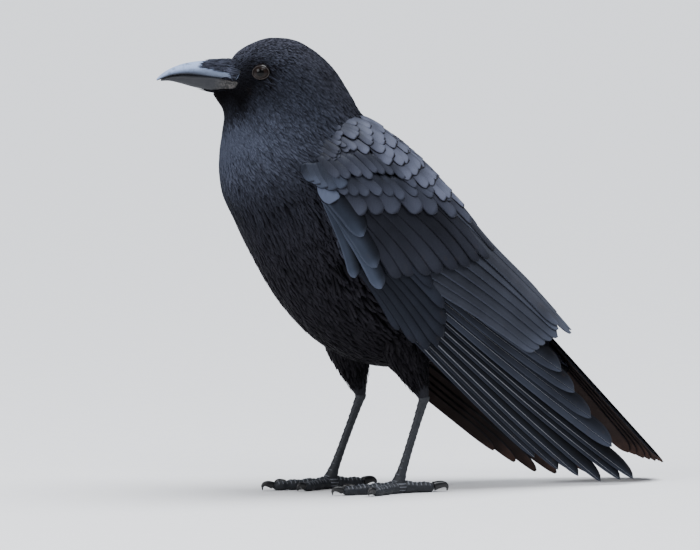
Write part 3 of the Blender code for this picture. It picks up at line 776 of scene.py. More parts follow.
def body_vanes(coat, rib_ends, angle_ends, rng, section, rows, dense=1.0, lift=0.0, tip=1.0,
               spread=0.14, vary=0.5, margin=9.0, back_cool=0.6):
    """Contour feathers of one zone of the body. Each rises from a third of the coat's depth
    to the plumage's outline, or lift above it, and leans off the lie of the coat by a small
    angle. Dense makes rows and roots closer, and back_cool is how bluish the top of the back
    is. The folded wing hides those that lie further inside its edges than the margin, and
    they are left out."""
    ribs, rib = [], rib_ends[0]
    middle = (angle_ends[0] + angle_ends[1]) / 2
    while rib < rib_ends[1]:
        ribs.append(rib)
        here = body(np.array((rib, rib + 0.02)), np.full(2, middle))
        pace = np.linalg.norm(here[1] - here[0]) / 0.02
        rib += ROW_SHARE / dense * coat_measure(rib, middle, BACK_LENGTH, BELLY_LENGTH) / pace

    def spacing(u, v):
        return SIDE_SHARE / dense * coat_measure(u, v, BACK_HALF, BELLY_HALF)

    u, v = scatter(BODY, ribs, spacing, angle_ends, rng)
    count = len(u)
    length = coat_measure(u, v, BACK_LENGTH, BELLY_LENGTH) * rng.uniform(0.85, 1.15, count)
    half = coat_measure(u, v, BACK_HALF, BELLY_HALF) * rng.uniform(0.85, 1.15, count)
    depth = np.interp(u, COAT_RIB, COAT_DEPTH)
    level = np.stack((-0.35 * depth, lift + rng.uniform(-0.08, 0.04, count) * depth), 1)
    # Paleness is partly painted light: paler towards the top, with a painted highlight on the front
    # of the crown.
    pale = paleness(u, v)
    cool = np.interp(u, COAT_RIB, COAT_COOL)
    cool = cool + (back_cool - cool) * np.clip(np.sin(v) * 2 - 0.8, 0, 1)
    lie_along(coat, BODY, u, v, length, half, level, rng.normal(0.0, spread, count), pale, rng,
              section, rows, tip, (0.0, LAST_RIB - 0.02),
              lambda points: clear_of_eyes(points) & ~under_wing(points.mean((1, 2)), margin),
              cool=cool, arch=0.08, vary=vary)


def lie_along(coat, form, u, v, length, half, level, lean, pale, rng, section, rows, tip,
              u_ends, choose=None, curl=0.06, arch=0.14, cool=0.5, vary=0.5):
    """Vanes on a form from their roots u, v. Each runs along the form's own lie, turned by its
    lean and slightly curled, and rises from its root's level to its tip's with the 0.8 power
    of the way along. Its edges bend inwards by arch half widths. Choose says which stay."""
    count = len(u)
    share = vane_rows(rows)[None, :, None]
    across = section[0][None, None, :]
    wide = per_vane(half) * outline(share, tip, per_vane(half / length)) * across
    ahead = per_vane(length) * share
    curve = per_vane(rng.normal(0.0, curl, count)) * ahead * share
    cosine, sine = np.cos(per_vane(lean)), np.sin(per_vane(lean))
    uu, vv = form.walk(u, v, ahead * cosine - wide * sine, ahead * sine + wide * cosine + curve)
    uu = np.clip(uu, *u_ends)
    low, high = per_vane(level[:, 0]), per_vane(level[:, 1])
    out = low + (high - low) * share**0.8 - arch * per_vane(half) * across**2
    keep = np.ones(count, bool) if choose is None else choose(form.place(uu, vv, out)[0])
    tint = rng.uniform(0.5 - vary, 0.5 + vary, count)
    lay_vanes(coat, form, uu[keep], vv[keep], out[keep], section, 0.0, half[keep], length[keep],
              tint[keep], pale[keep], (cool + 0 * tint)[keep])


# Bristles: the half of the bill they lie over, their number, the middle and the spread of their
# angles round it, their paleness, and the ribs where they end by their share of the spread.
# The upper ones' paleness, far above the lower ones', is painted light from above, and the
# lower ones' darkness is painted shade under the jaw.
BRISTLES = (
    ("upper", 1300, math.pi / 2, 2.75, 0.80, (0.0, 0.25, 0.50, 0.60, 0.70, 1.0),
     (2.45, 2.70, 2.95, 1.7, 0.60, 0.15)),
    ("lower", 420, -math.pi / 2, 1.0, 0.12, (0.0, 0.5, 1.0), (2.3, 1.8, 0.8)),
)


def bristles(coat, rng):
    """Hair-like feathers that lie forward over the root of the bill: over its upper half they
    end on a line that climbs forwards, and under it they end at the fork of the lower jaw."""
    for half_bill, count, middle, fan, low, shares, ends in BRISTLES:
        off = rng.uniform(-1, 1, count)
        v = middle + fan * off
        end = np.interp(np.abs(off), shares, ends)
        least = np.minimum(end, 0.55)
        end = least + (end - least) * rng.uniform(0.0, 1.0, count) ** 0.55
        length = np.minimum(rng.uniform(8.0, 13.0, count), end * BILL_STEP - 0.4).clip(1.0)
        half = rng.uniform(0.20, 0.40, count)
        u = np.maximum(end - length / BILL_STEP, 0.03)
        level = np.stack((rng.uniform(0.0, 0.5, count), rng.uniform(0.2, 1.1, count)), 1)
        # Paleness: painted light from above on the upper bristles, painted shade under the jaw on
        # the lower ones.
        lie_along(coat, bill_form(half_bill), u, v, length, half, level,
                  rng.normal(0, 0.06, count),
                  rng.uniform(low - 0.15, low + 0.15, count).clip(0), rng, SLIM, 5, 6.0,
                  (0.0, 3.4), cool=0.8)


def thigh_form(side, ankle, knee):
    """The surface of a thigh, from the knee down to the ankle."""
    chart = (0.51, 0.80, 0.74, 0.99) if side == "left" else (0.76, 0.80, 0.99, 0.99)
    return Form(lambda u, v: sleeve(knee, ankle, THIGH_RADII, u, v), -1, chart, (0, 1.2),
                (-math.pi, math.pi), (0.004, 0.01))


THIGH_SPACING = 2.1
THIGH_ROWS = np.arange(0.0, 0.80, 0.054)    # shares of the way down to the ankle


def thigh_feathers(coat, rng):
    """Soft feathers that hang down the thighs and fray over the ankles."""
    for side, _, _, ankle, knee in LEGS:
        form = thigh_form(side, ankle, knee)
        u, v = scatter(form, THIGH_ROWS, lambda u, v: THIGH_SPACING + 0 * u, (0, TURN), rng)
        count = len(u)
        half = rng.uniform(1.5, 2.3, count) * np.interp(u, (0.3, 0.8), (1.0, 0.45))
        length = rng.uniform(10, 15, count) * np.interp(u, (0.5, 0.8), (1.0, 0.8))
        rise = rng.uniform(-0.2, 0.8, count) - np.interp(u, (0.5, 0.8), (0.0, 1.6))
        level = np.stack((np.full(count, -1.4), rise), 1)
        lie_along(coat, form, u, v, length, half, level, rng.normal(0, 0.15, count),
                  np.full(count, 0.10), rng, SLIM, 6, 3.0, (0.0, 1.17), cool=0.1)


BACK_FROM = 0.9                    # angle round the body where the back's broad feathers start


def make_body_coat(materials):
    """The coat of head, neck and trunk, zone by zone: small slim feathers all over the head,
    longer ones on the breast and belly, broad ones on the back, and fuller ones on the flanks,
    then the bristles and the thighs."""
    rng = np.random.default_rng(SEEDS["body"])
    head, trunk, back, face, legs = (Coat() for _ in range(5))
    whole = (-math.pi / 2, 1.5 * math.pi)
    body_vanes(head, (0.05, 4.2), whole, rng, SLIM, 5, tip=3.0, spread=0.13, vary=0.8)
    body_vanes(head, (4.2, 7.3), whole, rng, SLIM, 6, lift=0.2, tip=3.5, spread=0.11, vary=0.4)
    body_vanes(trunk, (7.3, 7.9), whole, rng, SLIM, 5, tip=3.5, spread=0.16, vary=0.25)
    body_vanes(trunk, (7.9, 18.6), (math.pi - BACK_FROM, TURN + BACK_FROM), rng, SLIM, 5,
               tip=3.5, spread=0.16, vary=0.25)
    body_vanes(back, (7.7, 18.6), (BACK_FROM, math.pi - BACK_FROM), rng, BROAD, 9, dense=0.62,
               tip=1.1, spread=0.06, vary=0.4, back_cool=0.35)
    for ends in ((-0.7, 0.3), (math.pi - 0.3, math.pi + 0.7)):
        body_vanes(trunk, (10.4, 14.2), ends, rng, SLIM, 6, dense=0.8, lift=5.0, tip=3.0,
                   spread=0.2, vary=0.25, margin=24.0)
    bristles(face, rng)
    thigh_feathers(legs, rng)
    for coat, name in ((head, "head_feathers"), (trunk, "body_feathers"), (face, "bristles"),
                       (legs, "thigh_feathers")):
        coat.make(name, materials["contour"])
    back.make("back_feathers", materials["covert"])


# -------- wings and tail

# Tracts of a wing on its own plane, in millimetres, from the lowest layer to the top one.
# Feathers are (root a, root b, tip a, tip b, half width), from the lowest of the row to the
# topmost. Bow is how far a middle line swings sideways, and level the heights of root and tip
# over the wing's surface. Web is the width of the lower web over the upper one's, and tip the
# length of the closing tip in half widths. Tilt and arch bring the upper edge and the edges
# inwards. Pale and cool are how light and how bluish a feather is, and dark how much painted
# shade darkens its covered web. Loose is how far a tip may stray, in half widths, and shaft the
# half width of a shaft that shows.
TRACTS = {
    "outer_primaries": dict(
        bow=-2.0, level=(-5.5, -2.8), tip=3.6, web=0.30, pale=0.24, cool=0.8, arch=0.3, dark=0.97,
        tilt=2.4, shaft=0.46,
        vanes=((96, -37, 262, -32, 6.6), (97, -34, 281, -27, 7.0), (98, -30, 297, -20, 7.4),
               (100, -26, 311, -10.5, 7.9), (101, -22, 322, -0.5, 8.3), (103, -17, 331, 8, 8.6))),
    "inner_primaries": dict(
        bow=-2.0, level=(-4.7, -2.2), tip=2.2, web=0.50, pale=0.34, cool=0.8, arch=0.4, dark=0.5,
        tilt=2.0, shaft=0.20,
        vanes=((105, -12, 302, 13, 9.5), (107, -7, 273, 15, 9.5), (109, -2, 251, 20, 9.5),
               (111, 4, 232, 24, 10.0))),
    "secondaries": dict(
        bow=2.5, level=(-4.2, -1.6), tip=0.9, web=0.5, pale=0.42, cool=0.6, arch=0.5,
        tilt=1.8,
        vanes=((72, -12, 205, 18, 10.0), (71, -5, 207, 23, 10.0), (70, 3, 210, 28.5, 10.0),
               (68, 11, 213, 34, 10.0), (65, 20, 215, 39.5, 10.0), (62, 29, 215, 45, 10.0),
               (58, 38, 212, 50, 10.0))),
    "tertials": dict(
        bow=3.0, level=(-3.2, -0.5), tip=2.4, web=0.85, pale=0.50, cool=0.5, arch=1.0,
        tilt=1.5,
        vanes=((60, 38, 213, 48, 7.5), (57, 44, 227, 52.0, 7.5), (53, 50, 229, 56.5, 5.5),
               (50, 55, 214, 60.0, 4.5), (48, 59, 194, 62.5, 4.0))),
    "primary_coverts": dict(
        bow=2.0, level=(-3.6, -1.4), tip=1.6, web=0.6, pale=0.16, cool=0.7, arch=0.6,
        tilt=1.8,
        vanes=((44, -28, 116, -40, 6.0), (43, -25, 132, -38.5, 6.3), (42, -22, 143, -35, 6.5),
               (41, -18, 145, -29, 6.5), (40, -15, 144, -22, 6.5), (38, -12, 139, -15, 6.5),
               (37, -9, 129, -7, 6.5), (36, -6, 113, -3, 6.0))),
    "greater_coverts": dict(
        bow=3.5, level=(-3.2, -1.1), tip=0.95, loose=0.20, web=0.75, pale=0.16, cool=0.35, arch=1.2,
        tilt=1.9,
        vanes=((28, -6, 89, -15, 9.5), (30, 0, 97, -7, 9.5), (33, 7, 104, 2, 9.5),
               (38, 13, 111, 10, 9.5), (44, 20, 118, 19, 9.5), (50, 28, 125, 28, 9.0),
               (55, 36, 131, 37, 8.5), (58, 45, 137, 46, 8.0), (56, 54, 142, 55, 7.5))),
    "median_coverts": dict(
        bow=1.0, level=(-2.2, -0.6), tip=0.95, loose=0.32, web=1.0, pale=0.42, cool=0.4, arch=1.4,
        vanes=((18, 5, 41, 0, 7.4), (24, 14, 50, 8, 8.0), (31, 24, 60, 18, 8.4),
               (40, 32, 71, 28, 8.2), (50, 41, 84, 39, 7.6), (60, 49, 99, 49, 6.6),
               (70, 55, 113, 58, 6.0), (82, 60, 127, 65, 5.2))),
    "second_lesser_coverts": dict(
        bow=0.8, level=(-1.9, -0.3), tip=1.3, loose=0.35, web=1.0, pale=0.42, cool=0.45, arch=1.0,
        vanes=((5, 3, 22, 1, 4.6), (9, 7, 28, 6, 4.8), (14, 10, 35, 11, 4.9),
               (20, 16, 41, 17, 4.8), (27, 24, 48, 23, 4.9), (34, 29, 56, 29, 4.8),
               (43, 34, 66, 38, 4.8), (54, 41, 77, 46, 4.6), (66, 48, 92, 56, 4.4))),
    "first_lesser_coverts": dict(
        bow=0.6, level=(-1.5, 0.0), tip=1.5, loose=0.35, web=1.0, pale=0.42, cool=0.4, arch=1.0,
        vanes=((-6, 10, 11, 6, 4.7), (-3, 13, 17, 12, 4.7), (2, 18, 23, 17, 4.5),
               (6, 23, 29, 23, 4.4), (10, 29, 31, 27, 3.9), (14, 33, 36, 31, 3.9),
               (21, 36, 42, 34, 3.9), (30, 39, 51, 39, 3.8), (40, 40, 62, 42, 3.8),
               (52, 45, 74, 50, 3.8))),
    "alula": dict(
        bow=1.5, level=(-1.8, 0.1), tip=1.4, web=0.75, pale=0.48, cool=1.0, arch=1.0, dark=0.5,
        tilt=1.6,
        vanes=((14, -12, 66, -36, 5.6), (13, -11, 84, -28, 7.6), (9, -9, 71, -21, 8.6),
               (7, -6, 51, -12, 9.2))),
    # The carpal covert's paleness, far above its neighbours', is a painted sheen on that one
    # feather.
    "carpal_covert": dict(
        bow=-1.0, level=(-1.6, -0.1), tip=0.9, web=1.0, pale=1.7, cool=0.7, arch=1.0,
        vanes=((4, -3, 20, -8.5, 7.0),)),
    "wrist_coverts": dict(
        bow=-1.0, level=(-1.4, 0.2), tip=0.9, web=1.0, pale=0.52, cool=0.7, arch=1.2,
        vanes=((-10, -1, 1, -7, 4.2), (-8, 2, 5, -6, 4.8), (-6, 4, 10, -4.5, 5.4),
               (-4, 7, 15, -1.5, 5.8), (-2, 10, 20, 3.5, 5.6))),
}


FLIGHT = ("outer_primaries", "inner_primaries", "secondaries", "tertials", "alula")
SHAFT_RISE = 0.32                  # height of a shaft's ridge over its vane


def tract_vanes(coat, form, spec, rng, rows, thick, shafts=None):
    """One row of feathers on a wing. Each middle line runs from its root to its tip, bowed
    sideways by a half sine; the lower web is narrower by the web share and lies over the next
    feather, because the vane tilts inwards towards its upper edge and arches across. A shaft
    is a slim ridge along the middle line that thins towards the tip."""
    table = np.array(spec["vanes"], float)
    count = len(table)
    roots, tips, half = table[:, 0:2], table[:, 2:4], table[:, 4]
    bow = spec["bow"] * rng.uniform(0.7, 1.3, count)
    tips = tips + rng.uniform(-1.0, 1.0, (count, 2)) * (spec.get("loose", 0.13) * half)[:, None]
    half = half * rng.uniform(0.93, 1.07, count)
    pale = spec["pale"] * rng.uniform(0.85, 1.15, count)
    level, tilt = spec["level"], spec.get("tilt", 1.0)
    step = tips - roots
    length = np.linalg.norm(step, axis=1)
    unit = step / length[:, None]
    square = np.stack((-unit[:, 1], unit[:, 0]), 1)[:, None, None, :]
    share = vane_rows(rows)[None, :, None]
    across = PLATE[0][None, None, :]
    web = np.where(across < 0, spec["web"], 1.0)
    wide = per_vane(half) * outline(share, spec["tip"], per_vane(half / length), 0.6) * across * web
    bend = per_vane(bow) * np.sin(share * math.pi)
    line = roots[:, None, None, :] + step[:, None, None, :] * share[..., None]
    place = line + square * (wide + bend)[..., None]
    rise = level[0] + (level[1] - level[0]) * share**0.7 + 0 * wide
    out = rise - tilt * (across * web + spec["web"]) / 2 - spec["arch"] * (across * web) ** 2
    tint = rng.uniform(0, 1, count)
    lay_vanes(coat, form, place[..., 0], place[..., 1], out, PLATE, thick, half, length, tint,
              pale, spec["cool"], spec.get("dark", 0.0))
    if "shaft" in spec:
        slim = SLIM[0][None, None, :]
        rod = line + square * (bend + spec["shaft"] * (1 - 0.8 * share) * slim)[..., None]
        height = rise[:, :, :1] - tilt * spec["web"] / 2 + 0.02 + SHAFT_RISE * (1 - slim**2)
        lay_vanes(shafts, form, rod[..., 0], rod[..., 1], height, SLIM, 0.0, half, length, tint,
                  pale)


def make_wing(side, materials):
    """The feathers of one wing: its tracts, its under coat and its scapulars."""
    rng = np.random.default_rng(SEEDS[side])
    form = WINGS[side]
    flight, coverts, shafts = (Coat() for _ in range(3))
    for name, spec in TRACTS.items():
        if name in FLIGHT:
            tract_vanes(flight, form, spec, rng, 34, 0.25, shafts)
        else:
            tract_vanes(coverts, form, spec, rng, 20, 0.15)
    under_coat(coverts, form, rng)
    scapulars(coverts, form, rng)
    for coat, name, finish in ((flight, "flight_feathers", "flight"),
                               (coverts, "wing_coverts", "covert"), (shafts, "shafts", "shaft")):
        coat.make(f"{side}_{name}", materials[finish], f"{side}_wing")


UNDER_COAT_SPACING = 3.6
UNDER_COAT_ROWS = np.arange(-9.0, 60.0, 4.0)


def under_coat(coat, form, rng):
    """Small feathers over the fleshy front of the wing, below the rows of coverts."""
    u, v = scatter(form, UNDER_COAT_ROWS, lambda u, v: UNDER_COAT_SPACING + 0 * u, (-40, 68), rng)
    inside = (v > along_wing(u, LOWER_EDGE) + 1) & (v < along_wing(u, UPPER_EDGE) - 1)
    u, v = u[inside], v[inside]
    count = len(u)
    length, half = rng.uniform(9, 12, count), rng.uniform(2.4, 3.4, count)
    level = np.stack((np.full(count, -4.2), np.interp(u, (-8, 4, 16), (-0.9, -2.4, -4.8))), 1)
    lie_along(coat, form, u, v, length, half, level, rng.normal(-0.15, 0.12, count),
              rng.uniform(0.35, 0.50, count), rng, BROAD, 6, 1.8, (-10, 110), cool=0.3)


# The tips of the scapular rows, on the wing's plane: their lower and upper ends, from the
# shoulder backwards.
SCAPULAR_ROWS = 10
SCAPULAR_LOWER = ((0, 21), (22, 36), (40, 42), (64, 45), (104, 60))
SCAPULAR_UPPER = ((-4, 40), (16, 60), (44, 71), (78, 72), (110, 70))


def scapulars(coat, form, rng):
    """Rounded feathers from the shoulder, in rows over the upper edge of the wing. A row has
    as many feathers as its width needs, so that each shows about two thirds of its own. They
    grow longer and paler backwards."""
    for row in range(SCAPULAR_ROWS):
        back = row / (SCAPULAR_ROWS - 1)
        lower, upper = (smooth_rows(ends, np.array((back * (len(ends) - 1),)))
                        for ends in (SCAPULAR_LOWER, SCAPULAR_UPPER))
        broad = 4.0 + 2.8 * min(back * 2, 1) - 1.6 * max(back - 0.75, 0) / 0.25
        count = max(2, round(float(np.linalg.norm(upper - lower)) / (1.2 * broad))) + 1
        share = np.sort(np.arange(count) + 0.5 * (row % 2) + rng.uniform(-0.15, 0.15, count))
        share = (share[:, None] / count).clip(0, 1.05) ** 0.8
        tips = lower + (upper - lower) * share + rng.uniform(-1.2, 1.2, (count, 2))
        length = (14 + 12 * back) * rng.uniform(0.9, 1.1, count)
        angle = np.radians(-4 + 12 * share[:, 0] + rng.normal(0, 4, count))
        roots = tips - length[:, None] * np.stack((np.cos(angle), np.sin(angle)), 1)
        roots[:, 0] = np.maximum(roots[:, 0], -9)
        half = broad * rng.uniform(0.9, 1.1, count) * (1 - 0.45 * share[:, 0] ** 3)
        near = min(back * 3, 1)
        spec = dict(vanes=np.column_stack((roots, tips, half)), bow=0.5, web=1.0, tip=1.1,
                    level=(-5.4 + 3.2 * near, -1.1 + 1.3 * near), arch=1.0, tilt=0.9,
                    pale=0.52 + 0.46 * near, cool=0.35)
        tract_vanes(coat, form, spec, rng, 14, 0.1)


TAIL_FEATHERS = 12
TAIL_FEATHER_HALF = 10.0
TAIL_START = -22                   # where the feathers start, behind the tail's root
TAIL_SPREAD = 0.70                 # share of the roof's half width where the outermost lies
TAIL_OUTER_WEB = 0.62              # width of an outer web over the inner one's


def make_tail(materials):
    """Twelve feathers on the tail's roof, the middle pair on top and each outer one a little
    lower and shorter. Their middle lines fan out from half their spread to all of it, the
    outer web is slimmer than the inner one, and a slim shaft runs down each."""
    rng = np.random.default_rng(SEEDS["tail"])
    vanes, shafts = Coat(), Coat()
    share = vane_rows(34)[None, :, None]
    order = np.arange(TAIL_FEATHERS) - (TAIL_FEATHERS - 1) / 2
    outer = np.abs(order) / order.max()
    side = per_vane(np.sign(order))
    length = TAIL_LENGTH - TAIL_ROUNDING * outer**2 - 1.0 + rng.uniform(-1.0, 0.5, TAIL_FEATHERS)
    across = PLATE[0][None, None, :]
    along = (per_vane(length) - TAIL_START) * share + TAIL_START + 0 * across
    half = TAIL_ROOT_HALF + (TAIL_TIP_HALF - TAIL_ROOT_HALF) * np.clip(along / TAIL_LENGTH, 0, 1)
    centre = per_vane(order / order.max() * TAIL_SPREAD)
    centre = centre * np.clip(0.5 + 0.5 * share / 0.3, 0.5, 1)
    web = np.where(across * side > 0, TAIL_OUTER_WEB, 1.0)
    ratio = TAIL_FEATHER_HALF / TAIL_LENGTH
    wide = TAIL_FEATHER_HALF * outline(share, 1.5, ratio, 0.4) * across * web
    v = np.clip(centre + wide / half, -1.03, 1.03)
    level = -0.3 - 2.6 * per_vane(outer) + 0 * share
    out = level + 0.55 * across * side - 0.25 * across**2
    tint = rng.uniform(0, 1, TAIL_FEATHERS)
    pale = 0.55 - 0.15 * outer
    widths = np.full(TAIL_FEATHERS, TAIL_FEATHER_HALF)
    lay_vanes(vanes, TAIL, along, v, out, PLATE, 0.3, widths, length, tint, pale, 0.85)
    slim = SLIM[0][None, None, :]
    rod = centre + 0.35 * (1 - 0.75 * share) * slim / half[:, :, :1]
    rise = level + 0.05 + 0.3 * (1 - slim**2)
    lay_vanes(shafts, TAIL, along[:, :, :3], rod, rise, SLIM, 0.0, widths, length, 0.2 * tint,
              pale)
    vanes.make("tail_feathers", materials["tail"], "tail")
    shafts.make("tail_shafts", materials["shaft"], "tail")


# -------- skin

VOXEL = 1.6
WING_SKIN = (4, 180)               # along A, where the fleshy part of a wing starts and ends
WING_SKIN_DEPTH = 3.8
WING_SKIN_THICK = 2.6
THIGH_COAT = 1.6                   # depth of the thigh's coat over its skin


def skin_parts():
    """Closed shells of the body, the wings' fleshy part and the thighs, under the coat."""
    rib, angle = ring_grid(170, 96, 0.0, LAST_RIB - 0.3)
    depth = np.interp(rib, COAT_RIB, COAT_DEPTH)
    yield BODY.place(rib, angle, -depth)[0][:, ::-1]
    share, turn = ring_grid(60, 60)
    a = WING_SKIN[0] + share * (WING_SKIN[1] - WING_SKIN[0])
    upper, lower = along_wing(a, UPPER_EDGE) - 5, along_wing(a, LOWER_EDGE) + 4
    b = (upper + lower) / 2 + (upper - lower) / 2 * np.cos(turn)
    thick = WING_SKIN_THICK + 5 * np.sin(share * math.pi) ** 0.5 * np.abs(np.sin(turn))
    deep = WING_SKIN_DEPTH + 4.5 * share + np.where(np.sin(turn) > 0, 0.0, 1.0) * thick
    yield WINGS["left"].place(a, b, -deep)[0]
    yield WINGS["right"].place(a, b, -deep)[0][:, ::-1]
    share, angle = ring_grid(40, 32)
    radii = [radius - THIGH_COAT for radius in THIGH_RADII]
    for _, _, _, ankle, knee in LEGS:
        yield sleeve(knee, ankle, radii, share, angle)


def make_skin(materials):
    """One seamless skin: the closed shells joined by a voxel remesh, then smoothed."""
    piece = ring_piece("skin", list(skin_parts()), materials["skin"])
    remesh = piece.modifiers.new("Join", "REMESH")
    remesh.mode = "VOXEL"
    remesh.voxel_size = VOXEL * MM
    remesh.use_smooth_shade = True
    smooth = piece.modifiers.new("Smooth", "SMOOTH")
    smooth.factor, smooth.iterations = 0.5, 4
    graph = bpy.context.evaluated_depsgraph_get()
    joined = bpy.data.meshes.new_from_object(piece.evaluated_get(graph))
    piece.modifiers.clear()
    piece.data = joined
    declare(piece, "feather", "head", "neck", "trunk", "left_thigh", "right_thigh",
            "left_wing", "right_wing")


# -------- eyes and bill

def about_eye(sign, tilt, turn, radius):
    """Points round the middle of an eye: tilt is the angle off its outward axis, turn the angle
    round that axis from straight back, upwards, and radius the distance."""
    centre, out, back, up = eye_axes(sign)
    flat = np.sin(tilt) * radius
    return (centre + (np.cos(tilt) * radius)[..., None] * out
            + (flat * np.cos(turn))[..., None] * back
            + (flat * np.sin(turn))[..., None] * up)


# A lid's section: degrees past the opening's edge, and height over the eyeball.
LID_SECTION = np.array((
    (0.0, -0.1), (0.2, 0.30), (1.4, 0.52), (3.2, 0.55), (5.0, 0.36), (7.5, 0.10),
    (12.0, -0.25), (20.0, -1.2), (17.0, -1.9), (9.0, -1.4), (4.0, -0.8), (1.0, -0.5)))
LID_OPENING = np.radians((58, 41))  # half length and half height of the opening


def make_lids(materials):
    """A fleshy ring round each eye: a closed rolled section carried round an oval opening."""
    turn = np.linspace(0, TURN, 72, endpoint=False)[:, None]
    edge = 1 / np.sqrt((np.cos(turn) / LID_OPENING[0]) ** 2
                       + (np.sin(turn) / LID_OPENING[1]) ** 2)
    tilt = edge + np.radians(LID_SECTION[:, 0])
    radius = EYE_RADIUS + LID_SECTION[:, 1]
    rings = np.stack((about_eye(1, tilt, turn, radius), about_eye(-1, tilt, turn, radius)[::-1]))
    rows, sides = tilt.shape
    faces = grid_faces(rows + 1, sides) % (rows * sides)
    piece = mesh_piece("eyelids", rings, [np.concatenate((faces, faces + rows * sides))],
                       materials["lid"])
    declare(piece, "scale")


def make_eyes(materials):
    """Eyeballs: spheres whose poles lie on the eye's axis, with the angle from it kept."""
    tilt, turn = ring_grid(48, 64, 0.01, math.pi - 0.01)
    for side, sign in (("left", 1), ("right", -1)):
        ball = about_eye(sign, tilt, turn, EYE_RADIUS)
        piece = ring_piece(f"{side}_eyeball", [ball[:, ::-sign]], materials["eye"])
        set_number(piece, "tilt", np.degrees(tilt))
        declare(piece, "eye", f"{side}_eye")


def bill_form(half, close=0.0):
    """The surface of one half of the bill. Its sides are boxier where they meet the other half
    near the root, so that both fill the corner of the mouth. Close lifts its inner side."""
    table = np.array(BILL[half])
    table[1:, 1] += close
    towards = -1 if half == "upper" else 1

    def surface(rib, angle):
        square = np.clip(2 * towards * np.sin(angle), 0, 1) * np.clip((3.2 - rib) / 1.6, 0, 1)
        return ribbed(table, rib, angle, 0.72 * square)

    return Form(surface, -1, (0.51, 0.80, 0.99, 0.99), (0, len(table) - 1), (-math.pi, math.pi),
                (0.01, 0.01))


GROOVE_DEPTH = 0.30
GROOVE_HALF = 0.09                 # half width of the groove, as an angle round the bill


def make_bill(materials):
    """Horny sheaths: the bill's ribs, with the tip closed and a groove along each side above
    the cutting edge, which fades out before the tip."""
    for half, groove, close in (("upper", -0.62, 0.0), ("lower", 0.35, BILL_CLOSE)):
        last = len(BILL[half]) - 1
        share, angle = ring_grid(110, 72)
        rib = share * last
        fold = np.abs(np.abs(np.mod(angle + math.pi / 2, TURN) - math.pi) - (math.pi / 2 - groove))
        dip = GROOVE_DEPTH * np.exp(-((fold / GROOVE_HALF) ** 2))
        dip = dip * np.clip(1 - rib / (last - 1), 0, 1)
        points = bill_form(half, close).place(rib, angle, -dip)[0]
        piece = ring_piece(f"{half}_bill", [points], materials["bill"])
        set_number(piece, "along", rib / last)
        set_number(piece, "high", np.sin(angle))
        set_number(piece, "lower", np.full(angle.shape, float(half == "lower")))
        declare(piece, "bill", f"bill_{half}")


# -------- legs

def rings_along(path, radius, angle, flatten=1.0):
    """Rings square to a path. The radius may change round the ring and along the path, and
    flatten is a ring's height over its width."""
    tangent = np.gradient(path, axis=0)
    tangent /= np.linalg.norm(tangent, axis=1, keepdims=True)
    lateral = np.cross(tangent, (0.0, 0.0, 1.0))
    size = np.linalg.norm(lateral, axis=1, keepdims=True)
    lateral = np.where(size > 1e-3, lateral / np.maximum(size, 1e-9), (1.0, 0.0, 0.0))
    wide = (np.cos(angle) * radius)[..., None] * lateral[:, None]
    tall = (np.sin(angle) * radius * flatten)[..., None] * np.cross(lateral, tangent)[:, None]
    return path[:, None] + wide + tall


def make_leg(side, sign, foot, ankle, materials):
    """A shank from a little above the ankle down to the foot: a tube that follows its radii,
    with a rising edge on each of the plates down its front and fine rings behind."""
    foot = np.array((*foot, 0.0))
    joint = foot + np.array((0.0, 0.0, FOOT_JOINT_Z))
    start = ankle + (np.array(ankle) - joint) * 0.05
    share, angle = ring_grid(132, 32)
    path = start + share[:, :1] * (joint - start)
    axis = (joint - start) / np.linalg.norm(joint - start)
    front = np.cross(axis, (1.0, 0.0, 0.0))
    front /= np.linalg.norm(front)
    wide = np.cross(front, axis)
    base = np.interp(share[:, 0], SHANK_AT, SHANK_RADII)
    base = np.convolve(np.pad(base, 6, "edge"), np.ones(13) / 13, "valid")[:, None]
    base = base * np.sqrt(1 - 0.9 * (1 - np.clip(share / 0.05, 0, 1)) ** 2)
    plate = np.mod(share * SCUTES, 1.0)
    facing = np.cos(angle)
    radius = base * (1 + 0.10 * facing**2)
    radius = radius + SCUTE_EDGE * plate**2 * np.clip(facing * 1.8 - 0.2, 0, 1)
    radius = radius + BACK_RINGS * np.cos(share * 90) * np.clip(-facing, 0, 1)
    rings = (path[:, None] + (facing * radius)[..., None] * front
             + (np.sin(angle) * radius)[..., None] * wide)
    piece = ring_piece(f"{side}_shank_scales", [rings[:, ::-1]], materials["scale"])
    # Painted highlight on the raised lower edges of the front plates, stronger towards the foot.
    rim = plate * np.clip(facing * 2, 0, 1) * (0.70 + 0.25 * share**2)
    set_number(piece, "plate", rim)
    declare(piece, "scale", f"{side}_shank")
    make_foot(side, sign, foot, materials)


